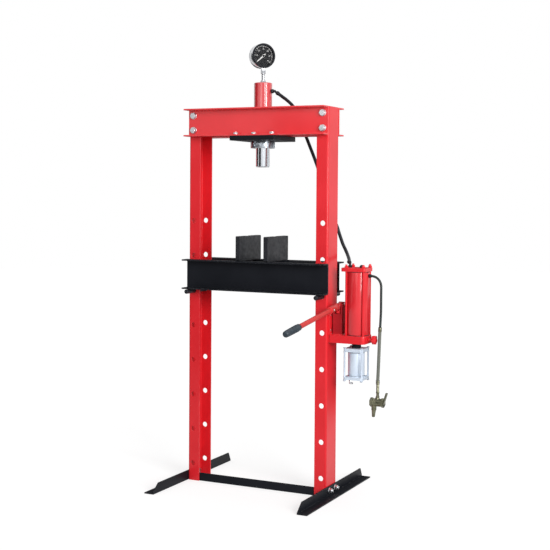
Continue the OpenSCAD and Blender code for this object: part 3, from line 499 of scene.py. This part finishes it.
def turned_metal(name, colour, deep, roughness):
    """Metal with fine machining lines that run round the vertical."""
    s = Shader(name).set(Metallic=1.0)
    lines = s.noise(60, 2, 0.5, (1, 1, 30))
    base = s.mix(s.ramp(s.noise(12, 4), 0.35, 0.65), colour, deep)
    shine = s.ramp(lines, 0.3, 0.7, roughness - 0.05, roughness + 0.08)
    return s.wire(Base_Color=base, Roughness=shine, Normal=s.bump(lines, 0.00002))


def hose_rubber():
    """Black rubber with the print of the cloth that it was cured in."""
    s = Shader("hose_rubber").set(Specular_IOR_Level=0.22)
    pitch, count = 0.0016, 28.0
    weft = s.math("SINE", s.math("MULTIPLY", s.attribute("along"), 2 * math.pi / pitch))
    warp = s.math("SINE", s.math("MULTIPLY", s.attribute("around"), count))
    cloth = s.math("MULTIPLY", weft, warp)
    base = s.mix(s.ramp(s.noise(40, 4), 0.4, 0.7), (0.008, 0.010, 0.014), (0.018, 0.020, 0.025))
    shine = s.ramp(s.noise(30, 4), 0.3, 0.7, 0.36, 0.5)
    return s.wire(Base_Color=base, Roughness=shine, Normal=s.bump(cloth, 0.00006))


def air_rubber():
    """Smooth, slightly green rubber."""
    s = Shader("air_rubber").set(Specular_IOR_Level=0.3)
    base = s.mix(s.ramp(s.noise(60, 4), 0.4, 0.7), (0.012, 0.017, 0.017), (0.028, 0.038, 0.036))
    shine = s.ramp(s.noise(45, 4), 0.3, 0.7, 0.30, 0.42)
    return s.wire(Base_Color=base, Roughness=shine, Normal=s.bump(s.noise(600, 2), 0.00003))


def braided_cover():
    """Pale strands over dark gaps, in step with braid_radius, and a little dust."""
    s = Shader("braided_cover").set(Sheen_Weight=0.2, Sheen_Roughness=0.5)
    turns = s.math("MULTIPLY", s.attribute("along"), 2 * math.pi / BRAID_PITCH)
    waves = []
    for way in ("ADD", "SUBTRACT"):
        lead = s.math(way, s.attribute("around"), turns)
        waves.append(s.math("SINE", s.math("MULTIPLY", lead, BRAID_STRANDS)))
    strand = s.ramp(s.math("MULTIPLY", *waves), -0.5, 0.5)
    base = s.mix(strand, (0.040, 0.046, 0.036), (0.20, 0.21, 0.175))
    dusty = s.mix(s.ramp(s.noise(120, 4), 0.45, 0.75), base, (0.14, 0.14, 0.12))
    return s.wire(Base_Color=dusty, Roughness=s.ramp(s.noise(300, 2), 0.3, 0.7, 0.6, 0.8),
                  Normal=s.bump(s.noise(1500, 2), 0.00008))


def dial_face():
    """The dial's matt black."""
    s = Shader("dial_face").set(Specular_IOR_Level=0.1)
    base = s.mix(s.ramp(s.noise(80, 3), 0.4, 0.6), (0.012, 0.012, 0.014), (0.022, 0.022, 0.025))
    return s.wire(Base_Color=base, Roughness=s.ramp(s.noise(200, 2), 0.3, 0.7, 0.45, 0.6))


def dial_print():
    """The pale print of the dial and the pointer's paint."""
    s = Shader("dial_print")
    base = s.mix(s.ramp(s.noise(200, 3), 0.4, 0.6), (0.80, 0.80, 0.78), (0.90, 0.90, 0.88))
    return s.wire(Base_Color=base, Roughness=s.ramp(s.noise(300, 2), 0.3, 0.7, 0.45, 0.6))


def gauge_glass():
    """A clear pane: nearly see-through, with a faint reflection."""
    s = Shader("gauge_glass").set(Base_Color=(0.02, 0.02, 0.02), Alpha=0.10, Specular_IOR_Level=0.4)
    return s.wire(Roughness=s.ramp(s.noise(50, 3), 0.4, 0.7, 0.02, 0.08))


def grip_rubber():
    """Slightly blue, grained rubber."""
    s = Shader("grip_rubber").set(Specular_IOR_Level=0.4)
    base = s.mix(s.ramp(s.noise(50, 4), 0.4, 0.7), (0.012, 0.021, 0.031), (0.026, 0.040, 0.052))
    return s.wire(Base_Color=base, Roughness=s.ramp(s.noise(70, 3), 0.3, 0.7, 0.48, 0.62),
                  Normal=s.bump(s.noise(900, 2), 0.00006))


# paints: colour, deeper tone, roughness, weight of the clear coat, gloss and the coat's index
PAINTS = {
    "red_enamel": ((0.74, 0.019, 0.028), (0.67, 0.013, 0.020), 0.34, 0.12, 0.25, 1.5),
    "red_gloss": ((0.60, 0.016, 0.024), (0.55, 0.011, 0.017), 0.30, 1.0, 0.3, 1.8),
    # painted sheen: the head's red is a little paler and pinker than the frame's; its stronger
    # clear coat adds a real reflection as well
    "red_head_painted_sheen": ((0.75, 0.023, 0.031), (0.69, 0.017, 0.024), 0.34, 0.35, 0.3, 1.8),
    "red_tank": ((0.67, 0.020, 0.028), (0.61, 0.014, 0.021), 0.30, 0.45, 0.3, 1.5),
    # painted shade and sheen: the lever's red is darker than the frame's, with a paler veil painted
    # into its green and blue
    "red_lever_painted_shade_and_sheen": ((0.54, 0.045, 0.042), (0.48, 0.036, 0.034), 0.38, 0.1, 0.25, 1.5),
    "black_enamel": ((0.007, 0.008, 0.011), (0.011, 0.012, 0.016), 0.40, 0.0, 0.08, 1.5),
    # painted shade: a much darker copy of the frame's red, for the pump's block between the column
    # and the tank
    "red_painted_shade": ((0.46, 0.012, 0.020), (0.30, 0.006, 0.010), 0.42, 0.0, 0.15, 1.5),
}
# grained surfaces: colour, deeper tone, roughness and how metallic they are
GRAINED = {
    "dark_steel": ((0.024, 0.025, 0.031), (0.015, 0.016, 0.020), 0.45, 0.6),
    "zinc_plate": ((0.66, 0.67, 0.69), (0.54, 0.55, 0.57), 0.28, 1.0),
    "satin_aluminium": ((0.67, 0.75, 0.85), (0.59, 0.67, 0.78), 0.42, 0.25),
    "rod_aluminium": ((0.54, 0.61, 0.71), (0.47, 0.54, 0.64), 0.42, 0.25),
    "spring_steel": ((0.25, 0.26, 0.28), (0.18, 0.19, 0.2), 0.35, 1.0),
    "dull_brass": ((0.24, 0.235, 0.16), (0.09, 0.09, 0.06), 0.34, 1.0),
    "seal_rubber": ((0.02, 0.02, 0.022), (0.03, 0.03, 0.03), 0.5, 0.0),
}
# turned metals: colour, deeper tone and roughness
TURNED = {
    "bright_steel": ((0.66, 0.67, 0.69), (0.56, 0.57, 0.59), 0.26),
    "hard_chrome": ((0.65, 0.68, 0.72), (0.58, 0.61, 0.65), 0.14),
    "bronze": ((0.55, 0.36, 0.14), (0.45, 0.28, 0.10), 0.3),
    "gauge_steel": ((0.70, 0.71, 0.73), (0.60, 0.61, 0.63), 0.24),
    "stem_steel": ((0.40, 0.41, 0.43), (0.30, 0.31, 0.33), 0.32),
    "nut_steel": ((0.39, 0.42, 0.46), (0.31, 0.34, 0.37), 0.30),
}
# each material slot of the part: its material, and how far the edges are eased
SLOT_LOOKS = {
    "red_paint": ("red_enamel", 0.0008),
    "black_paint": ("black_enamel", 0.0008),
    "plate_steel": ("dark_steel", 0.0009),
    "zinc": ("zinc_plate", 0.0005),
    "bright_steel": ("bright_steel", 0.0004),
    "chrome": ("hard_chrome", 0.0005),
    "spring_steel": ("spring_steel", 0.0),
    "bronze": ("bronze", 0.0004),
    "brass": ("dull_brass", 0.0005),
    "aluminium": ("satin_aluminium", 0.0007),
    "gauge_steel": ("gauge_steel", 0.0004),
    "dial_black": ("dial_face", 0.0),
    "pointer_white": ("dial_print", 0.0),
    "clear_glass": ("gauge_glass", 0.0),
    "black_rubber": ("seal_rubber", 0.0),
    "braid": ("braided_cover", 0.0),
    "grip_plastic": ("grip_rubber", 0.0006),
}
# the same for nodes that don't look like the rest of their slot
NODE_LOOKS = {
    "ram_plate": ("black_enamel", 0.0009),
    "ring_nut": ("nut_steel", 0.0006),
    "barrel": ("red_gloss", 0.0008),
    "tank": ("red_tank", 0.0008),
    # the head's two channels get the red with painted sheen
    "head_front": ("red_head_painted_sheen", 0.0008),
    "head_rear": ("red_head_painted_sheen", 0.0008),
    # the lever's red holds painted shade and a painted sheen
    "lever": ("red_lever_painted_shade_and_sheen", 0.0008),
    # the pump's block gets painted shade in its darker red
    "plunger_block": ("red_painted_shade", 0.0008),
    "motor_rods": ("rod_aluminium", 0.0004),
    "gauge_adapter": ("stem_steel", 0.0004),
    "pump_fitting": ("dark_steel", 0.0003),
}


def make_materials():
    """Every material of the press, by name."""
    made = {name: paint(name, *values) for name, values in PAINTS.items()}
    made |= {name: grained(name, *values) for name, values in GRAINED.items()}
    made |= {name: turned_metal(name, *values) for name, values in TURNED.items()}
    others = (hose_rubber, air_rubber, braided_cover, dial_face, dial_print, gauge_glass,
              grip_rubber)
    return made | {maker.__name__: maker() for maker in others}


MATERIALS = make_materials()


def dress_nodes():
    """Gives each CAD node its material and eases its edges."""
    slots = {p["node"]: p["material_slot"] for p in frame["record"]["subparts"]}
    for name, obj in NODES.items():
        look, edge = NODE_LOOKS.get(name, SLOT_LOOKS[slots[name]])
        for slot in obj.material_slots:
            slot.material = MATERIALS[look]
        if edge:
            ease_edges(obj, edge)


def ease_edges(obj, width):
    """Rounds the sharp edges a little, as paint or a deburring file leaves them."""
    weld = obj.modifiers.new("weld", "WELD")
    weld.merge_threshold = 0.000005
    flat = obj.modifiers.new("flat", "DECIMATE")
    flat.decimate_type = "DISSOLVE"
    flat.angle_limit = math.radians(0.8)
    bevel = obj.modifiers.new("edges", "BEVEL")
    bevel.width = width
    bevel.segments = 2
    bevel.limit_method = "ANGLE"
    bevel.angle_limit = math.radians(32)
    bevel.harden_normals = True
    bevel.use_clamp_overlap = False


# ---------------------------------------------------------------- detail helpers

def facing(place, axis):
    """A matrix that stands +Z on place, along axis."""
    return Matrix.Translation(place) @ Vector(axis).to_track_quat("Z", "Y").to_matrix().to_4x4()


def turned(made, at, profile, sides=28, ring=False):
    """Adds a turned form along the +Z of a matrix. The profile is a list of (radius, height);
    a ring's profile closes on itself, and any other is closed at both ends."""
    rings = []
    for radius, height in profile:
        rings.append([
            made.verts.new(at @ Vector((radius * math.cos(a), radius * math.sin(a), height)))
            for a in (2 * math.pi * k / sides for k in range(sides))
        ])
    skin(made, rings + rings[:1] if ring else rings)
    if not ring:
        made.faces.new(rings[0])
        made.faces.new(rings[-1])


def collar(made, at, inner, outer, height, ease, sides=28):
    """A raised ring that stands on the matrix and slopes at both ends."""
    turned(made, at, [
        (inner, 0), (outer, ease), (outer, height - ease), (inner, height),
    ], sides, ring=True)


def band(made, at, inner, outer, crown, height, sides, ease=0.0):
    """A ring like a collar, whose outer face swells by crown half way up."""
    turned(made, at, [
        (inner, 0), (outer, ease), (outer + crown, height / 2), (outer, height - ease),
        (inner, height),
    ], sides, ring=True)


def washer(made, at, inner, outer, height):
    """A flat ring with an eased upper edge."""
    ease = 0.3 * height
    turned(made, at, [
        (inner, 0), (outer, 0), (outer, height - ease), (outer - ease, height), (inner, height),
    ], ring=True)


def thread(made, at, radius, length, pitch):
    """The crests of a thread on a rod that stands on the matrix."""
    count = max(2, round(length / pitch))
    step = length / count
    profile = [(0.6 * radius, 0)]
    for k in range(count):
        profile += [(radius + 0.00005, (k + 0.05) * step), (radius + 0.0004, (k + 0.5) * step)]
    turned(made, at, [*profile, (radius - 0.0006, length), (0.6 * radius, length)], sides=24)


def across_flats(low, high):
    """The size across the flats of a hexagon whose corners lie along X, from its box."""
    return (high.x - low.x) * math.cos(math.pi / 6)


def hex_chamfer(made, at, across, height):
    """The round face that a hexagon's corners are cut back to."""
    radius = 0.47 * across
    turned(made, at, [(radius, 0), (radius, 0.6 * height), (radius - 0.5 * height, height)])


BEAD_STEPS = 90
BEAD_SIDE = Vector((0.3, 0.4, 0.86))    # any direction that no bead runs along


def weld_bead(made, start, end, radius):
    """A bead of weld with its ripples, laid from one point to another."""
    line = [Vector(start).lerp(Vector(end), k / BEAD_STEPS) for k in range(BEAD_STEPS + 1)]
    rings = []
    for distance, point, heading in walk(line):
        across = heading.cross(BEAD_SIDE).normalized()
        up = heading.cross(across)
        ripple = 0.9 + 0.13 * abs(math.sin(distance * 900)) + 0.07 * math.sin(distance * 97)
        rings.append([
            made.verts.new(point + radius * ripple * (math.cos(a) * across + math.sin(a) * up))
            for a in (k * math.pi / 4 for k in range(8))
        ])
    skin(made, rings)
    made.faces.new(rings[0])
    made.faces.new(rings[-1])


def detail(name, made, slot, body, look=None):
    """Turns the mesh into a piece on a body, with its slot's material or another one."""
    bmesh.ops.recalc_face_normals(made, faces=made.faces)
    mesh = bpy.data.meshes.new(name)
    made.to_mesh(mesh)
    made.free()
    piece = new_piece(name, mesh, MATERIALS[look or SLOT_LOOKS[slot][0]], body)
    mesh.set_sharp_from_angle(angle=math.radians(38))


def solids(node):
    """The lowest and highest corners of each separate solid of a node."""
    made = bmesh.new()
    made.from_mesh(NODES[node].data)
    bmesh.ops.remove_doubles(made, verts=made.verts, dist=0.000005)
    seen, boxes = set(), []
    for start in made.verts:
        if start in seen:
            continue
        seen.add(start)
        group, open_verts = [], [start]
        while open_verts:
            vert = open_verts.pop()
            group.append(vert.co.copy())
            for link in vert.link_edges:
                other = link.other_vert(vert)
                if other not in seen:
                    seen.add(other)
                    open_verts.append(other)
        boxes.append((
            Vector([min(p[i] for p in group) for i in range(3)]),
            Vector([max(p[i] for p in group) for i in range(3)]),
        ))
    made.free()
    return boxes


def middle(box):
    return (box[0] + box[1]) / 2


def reach(node, direction):
    """How far a node's mesh goes along a direction."""
    direction = Vector(direction)
    return max(v.co.dot(direction) for v in NODES[node].data.vertices)


# ---------------------------------------------------------------- fasteners

WALL = 0.006        # how thick the walls of the head's channels are
ROD_NUT = 0.005     # how thick the nuts under the air motor are


def bolt_details():
    """Washers and cut-back corners on the bolts, and the threads that stand out of the nuts."""
    made = bmesh.new()
    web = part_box("column_right")[1].y + WALL
    for low, high in solids("head_bolts"):
        side = 1 if high.y > 0 else -1
        centre = middle((low, high))
        across = across_flats(low, high)
        base = facing((centre.x, side * web, centre.z), (0, side, 0))
        head = (high.y if side > 0 else -low.y) - web
        washer(made, base, 0.44 * across, 0.60 * across, 0.0018)
        hex_chamfer(made, base @ Matrix.Translation((0, 0, head)), across, 0.0008)
    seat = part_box("head_front")[0].z + WALL
    for low, high in solids("ram_plate_bolts"):
        centre = middle((low, high))
        across = across_flats(low, high)
        base = facing((centre.x, centre.y, seat), (0, 0, 1))
        washer(made, base, 0.44 * across, 0.66 * across, 0.0016)
        hex_chamfer(made, base @ Matrix.Translation((0, 0, high.z - seat)), across, 0.0007)
    nut_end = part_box("foot_nuts")[1].x
    for low, high in solids("foot_bolts"):
        side = 1 if high.x > 0 else -1
        centre = middle((low, high))
        end = high.x if side > 0 else -low.x
        base = facing((side * nut_end, centre.y, centre.z), (side, 0, 0))
        thread(made, base, 0.006, end - nut_end, 0.00175)
    for low, high in solids("foot_nuts"):
        side = 1 if high.x > 0 else -1
        centre = middle((low, high))
        base = facing((side * nut_end, centre.y, centre.z), (side, 0, 0))
        turned(made, base, [
            (0.0061, -0.001), (0.0085, -0.001), (0.0085, 0.0003), (0.0061, 0.0006),
        ], ring=True)
    low_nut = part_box("motor_bottom")[0].z - ROD_NUT
    for low, high in solids("motor_rods"):
        centre = middle((low, high))
        base = facing((centre.x, centre.y, low_nut), (0, 0, -1))
        thread(made, base, 0.0035, low_nut - low.z, 0.00125)
    detail("bolt_washers_and_threads", made, "zinc", "frame")


# ---------------------------------------------------------------- cylinder and gauge

GAUGE_TURN = math.radians(50)    # how far the gauge is turned from the front to the right
# the scale in degrees: where it starts, and how far it sweeps clockwise
SCALE_START, SCALE_SWEEP = 222, 264
# the scale's numbered steps, and the parts of each
SCALE_STEPS, STEP_PARTS = 6, 5
# radii of the print: the arc's two edges, the inner ends of long and short strokes, the numbers
ARC_INNER, ARC_OUTER, LONG_FROM, SHORT_FROM, NUMBERS = 0.0415, 0.0421, 0.0355, 0.0385, 0.0290
# heights of the strokes and of the arc over the dial, and how thick they are
PRINT_HEIGHT, ARC_HEIGHT, PRINT_T = 0.0002, 0.00015, 0.0001
NUMBER_SIZE, NUMBER_T = 0.0088, 0.00008    # the numbers' type size, and half their thickness
ARC_PARTS = 120    # the straight pieces that the arc is made of
HUB_HEIGHT = 0.0030    # where the pointer's hub starts, over the dial
UPPER_HEX, LOWER_HEX = 0.014, 0.009    # heights of the gauge adapter's hexagons


def at_gauge():
    """The gauge's own frame: +Z out of its face and +Y up, with the dial at z = 0."""
    out = Vector((math.sin(GAUGE_TURN), -math.cos(GAUGE_TURN), 0))
    low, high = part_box("gauge_dial")
    height = (low.z + high.z) / 2
    return (
        Matrix.Translation(Vector((0, 0, height)) + out * reach("gauge_dial", out))
        @ Matrix.Rotation(GAUGE_TURN, 4, "Z")
        @ Matrix.Rotation(math.pi / 2, 4, "X")
    )


def scale_angle(share):
    """The direction on the dial at a share of the scale."""
    return math.radians(SCALE_START - SCALE_SWEEP * share)


def bar(made, at, angle, inner, outer, width):
    """A printed stroke that points out of the dial's centre."""
    c, s = math.cos(angle), math.sin(angle)
    corners = [(inner, -width), (outer, -width), (outer, width), (inner, width)]
    made.faces.new([
        made.verts.new(at @ Vector((c * r - s * w / 2, s * r + c * w / 2, PRINT_HEIGHT)))
        for r, w in corners
    ])


def number_mesh(made, at, text):
    """Adds a number, standing on the matrix, to the mesh."""
    curve = bpy.data.curves.new("number", "FONT")
    curve.body = text
    curve.size = NUMBER_SIZE
    curve.align_x, curve.align_y = "CENTER", "CENTER"
    curve.extrude = NUMBER_T
    curve.resolution_u = 3
    holder = bpy.data.objects.new("number", curve)
    bpy.context.collection.objects.link(holder)
    bpy.context.view_layer.update()
    graph = bpy.context.evaluated_depsgraph_get()
    mesh = bpy.data.meshes.new_from_object(holder.evaluated_get(graph))
    mesh.transform(at)
    made.from_mesh(mesh)
    bpy.data.objects.remove(holder, do_unlink=True)
    bpy.data.curves.remove(curve)
    bpy.data.meshes.remove(mesh)


def gauge_print(dial):
    """The dial's strokes, arc and numbers."""
    made = bmesh.new()
    marks = SCALE_STEPS * STEP_PARTS
    for k in range(marks + 1):
        inner, width = (SHORT_FROM, 0.0007) if k % STEP_PARTS else (LONG_FROM, 0.0016)
        bar(made, dial, scale_angle(k / marks), inner, ARC_INNER, width)
    edges = []
    for k in range(ARC_PARTS + 1):
        angle = scale_angle(k / ARC_PARTS)
        edges.append([
            made.verts.new(dial @ Vector((r * math.cos(angle), r * math.sin(angle), ARC_HEIGHT)))
            for r in (ARC_INNER, ARC_OUTER)
        ])
    for a, b in zip(edges, edges[1:]):
        made.faces.new((a[0], a[1], b[1], b[0]))
    bmesh.ops.recalc_face_normals(made, faces=made.faces)
    bmesh.ops.solidify(made, geom=list(made.faces), thickness=PRINT_T)
    for k in range(SCALE_STEPS + 1):
        angle = scale_angle(k / SCALE_STEPS)
        spot = Vector((NUMBERS * math.cos(angle), NUMBERS * math.sin(angle), PRINT_HEIGHT))
        number_mesh(made, dial @ Matrix.Translation(spot), str(10 * k))
    bmesh.ops.remove_doubles(made, verts=made.verts, dist=0.000001)
    detail("gauge_print", made, "pointer_white", "frame")


def gauge_details():
    """The dial's print, the pointer's hub, and the plate and screws on the gauge's back."""
    dial = at_gauge()
    gauge_print(dial)

    made = bmesh.new()
    hub = dial @ Matrix.Translation((0, 0, HUB_HEIGHT))
    turned(made, hub, [(0.0046, 0), (0.0046, 0.0006), (0.0040, 0.0010), (0.0012, 0.0011)])
    detail("pointer_hub", made, "black_paint", "pointer")

    made = bmesh.new()
    out = dial.to_3x3() @ Vector((0, 0, 1))
    back = facing(Vector((0, 0, dial.translation.z)) - out * reach("gauge_case", -out), -out)
    turned(made, back, [(0.0150, -0.0005), (0.0150, 0.0006), (0.0142, 0.0012), (0.0010, 0.0012)])
    for k in range(3):
        turn = Matrix.Rotation(2 * math.pi * k / 3 + 0.5, 4, "Z")
        turned(made, back @ turn @ Matrix.Translation((0.034, 0, 0)), [
            (0.0034, -0.0005), (0.0034, 0.0008), (0.0026, 0.0016), (0.0008, 0.0018),
        ])
    detail("gauge_back", made, "gauge_steel", "frame")


def cylinder_details():
    """Collars on the gauge's stem and the crimped ends of the hydraulic hose."""
    made = bmesh.new()
    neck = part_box("gauge_adapter")[1].z - UPPER_HEX
    for z in (neck - 0.0012, neck - 0.010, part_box("barrel")[1].z + LOWER_HEX):
        collar(made, facing((0, 0, z), (0, 0, 1)), 0.0060, 0.0078, 0.0018, 0.0003)
    detail("gauge_stem_collars", made, "gauge_steel", "frame")

    made = bmesh.new()
    for place, aim, length in ((PORT, PORT_AIM, PORT_REACH), (OUTLET, OUTLET_AIM, OUTLET_REACH)):
        profile = [(0.0070, 0.0002)]
        for k in range(4):
            z = 0.0005 + 0.0023 * k
            profile += [(0.0082, z), (0.0086, z + 0.0005)]
            profile += [(0.0086, z + 0.0013), (0.0081, z + 0.0019)]
        profile += [(0.0082, 0.0102), (0.0071, 0.0106)]
        turned(made, facing(place + (length - 0.010) * aim, aim), profile, sides=32)
    detail("hose_crimps", made, "plate_steel", "frame")


# ---------------------------------------------------------------- pump, motor, air line, lever

JOINTS = {joint["name"]: joint for joint in frame["record"]["behaviour"]["joints"]}
LEVER_PIVOT = Vector(JOINTS["pump_lever"]["pos_m"])
LEVER_SLOPE = math.radians(7)    # how far the lever points below level
# along the lever from its pivot: the two ends of its socket, and the set screw between them
SOCKET_ENDS, SOCKET_SCREW = (0.067, 0.1345), 0.115
# the grip's ribs: how many, from one to the next, and from the tip to the first one's far side
RIBS, RIB_PITCH, FIRST_RIB = 11, 0.0085, 0.0202


def pump_details():
    """The tank's gaskets, welds, the release knob's cap and the clip of the lever's pin."""
    tank_low, tank_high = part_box("tank")
    centre = middle((tank_low, tank_high))
    radius = (tank_high.x - tank_low.x) / 2
    gasket = 0.0022
    made = bmesh.new()
    for z in (tank_low.z, tank_high.z - gasket):
        at = facing((centre.x, 0, z), (0, 0, 1))
        band(made, at, radius - 0.001, radius + 0.0007, 0.0003, gasket, 72)
    detail("tank_gaskets", made, "black_paint", "frame")

    made = bmesh.new()
    low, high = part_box("plunger_block")
    foot = tank_low.z + 0.0004
    weld_bead(made, (low.x, low.y, foot), (high.x, low.y, foot), 0.0018)
    weld_bead(made, (high.x, low.y, foot), (high.x, -low.y, foot), 0.0018)
    low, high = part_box("pump_bracket")
    weld_bead(made, (high.x, low.y, foot), (high.x, high.y, foot), 0.0020)
    weld_bead(made, (high.x, high.y, low.z), (high.x, high.y, foot), 0.0016)
    weld_bead(made, (high.x, low.y, low.z), (high.x, low.y, foot), 0.0016)
    detail("pump_welds", made, "red_paint", "frame")

    made = bmesh.new()
    low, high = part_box("crossbar")
    for x in (-high.x, high.x):
        weld_bead(made, (x, low.y, 0.002), (x, low.y, high.z), 0.0020)
        weld_bead(made, (x, low.y, 0.004), (x, high.y, 0.004), 0.0018)
    detail("crossbar_welds", made, "black_paint", "frame")

    made = bmesh.new()
    low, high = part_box("release_valve")
    end = facing((high.x, 0, (low.z + high.z) / 2), (1, 0, 0))
    turned(made, end, [(0.0085, -0.0005), (0.0085, 0.0010), (0.0076, 0.0018), (0.0030, 0.0018)])
    turned(made, end, [
        (0.0130, -0.0005), (0.0130, 0.0006), (0.0115, 0.0006), (0.0115, -0.0005),
    ], ring=True)
    detail("release_knob_cap", made, "red_paint", "release_valve")

    made = bmesh.new()
    low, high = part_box("fulcrum_pin")
    clip = facing((low.x + 0.0022, LEVER_PIVOT.y, (low.z + high.z) / 2), (-1, 0, 0))
    washer(made, clip, 0.0046, 0.0078, 0.0012)
    detail("fulcrum_clip", made, "zinc", "frame")


def motor_details():
    """Collars and seals at the ends of the air motor's barrel, and washers on its rods."""
    low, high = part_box("motor_barrel")
    centre = middle((low, high))
    radius = (high.x - low.x) / 2
    height = 0.0030
    made = bmesh.new()
    for z in (low.z, high.z - height):
        at = facing((centre.x, centre.y, z), (0, 0, 1))
        band(made, at, radius - 0.001, radius + 0.0016, 0.0004, height, 72)
    for spot in map(middle, solids("motor_rods")):
        for z in (low.z - 0.0002, high.z - 0.0018):
            washer(made, facing((spot.x, spot.y, z), (0, 0, 1)), 0.0037, 0.0058, 0.0020)
    detail("motor_collars", made, "aluminium", "frame")

    made = bmesh.new()
    for z in (low.z + 0.0032, high.z - 0.0044):
        at = facing((centre.x, centre.y, z), (0, 0, 1))
        collar(made, at, radius - 0.001, radius + 0.0007, 0.0012, 0.0001, 72)
    detail("motor_seals", made, "black_paint", "frame", "dark_steel")


def air_line_details():
    """Rings on the joint between the air hoses, on the air valve and on the air outlet."""
    made = bmesh.new()
    top, low, end = from_mm(AIR_START, (AIR_POINTS[-1], BRAID_POINTS[0], BRAID_POINTS[-1]))
    for share in (0.02, 0.30, 0.58, 0.86):
        at = facing(top.lerp(low, share), (low - top).normalized())
        collar(made, at, 0.0066, 0.0077, 0.0018, 0.0002)
    for z, width in ((0.0, 0.0085), (0.006, 0.0082), (0.012, 0.0080), (0.064, 0.0078)):
        at = facing(end, (0, 0, -1)) @ Matrix.Translation((0, 0, z))
        collar(made, at, 0.0055, width, 0.0034, 0.0004)
    body = end - Vector((0.001, 0, 0.090))
    for x in (-0.0175, 0.0165):
        collar(made, facing(body + Vector((x, 0, 0)), (1, 0, 0)), 0.0155, 0.0168, 0.0016, 0.0002)
    spout = facing(body - Vector((0.013, 0, 0)), (-0.06, 0, -1))
    for k in range(4):
        at = spout @ Matrix.Translation((0, 0, 0.018 + 0.0035 * k))
        collar(made, at, 0.0095, 0.0107, 0.0020, 0.0004)
    detail("valve_rings", made, "brass", "frame")

    made = bmesh.new()
    for k in range(2):
        at = facing(AIR_START, (-1, 0, 0)) @ Matrix.Translation((0, 0, 0.0005 + 0.003 * k))
        collar(made, at, 0.0052, 0.0068, 0.0022, 0.0003)
    detail("air_outlet_rings", made, "plate_steel", "frame")


def lever_details():
    """The rims and the set screw of the lever's socket, and the grip's ribs."""
    along = Vector((0, -math.cos(LEVER_SLOPE), -math.sin(LEVER_SLOPE)))
    made = bmesh.new()
    for s in SOCKET_ENDS:
        at = facing(LEVER_PIVOT + s * along, along)
        band(made, at, 0.0095, 0.0146, 0.0006, 0.0020, 40, 0.0002)
    detail("socket_rims", made, "red_paint", "lever")

    made = bmesh.new()
    side = Vector((1, 0, 0))
    screw = facing(LEVER_PIVOT + SOCKET_SCREW * along + 0.0135 * side, side)
    turned(made, screw, [(0.0045, 0), (0.0045, 0.0030), (0.0038, 0.0038), (0.0012, 0.0038)])
    detail("socket_screw", made, "zinc", "lever")

    made = bmesh.new()
    length = reach("lever_grip", along) - LEVER_PIVOT.dot(along)
    for k in range(RIBS):
        s = length - FIRST_RIB - RIB_PITCH * k
        width = 0.0126 + 0.0011 * k / RIBS
        at = facing(LEVER_PIVOT + s * along, along)
        band(made, at, width - 0.001, width + 0.0005, 0.0003, 0.0044, 40, 0.0010)
    detail("grip_ribs", made, "grip_plastic", "lever")


# ---------------------------------------------------------------- the scene

aim_camera()
make_cords()
light_studio()
dress_nodes()
bolt_details()
gauge_details()
cylinder_details()
pump_details()
motor_details()
air_line_details()
lever_details()
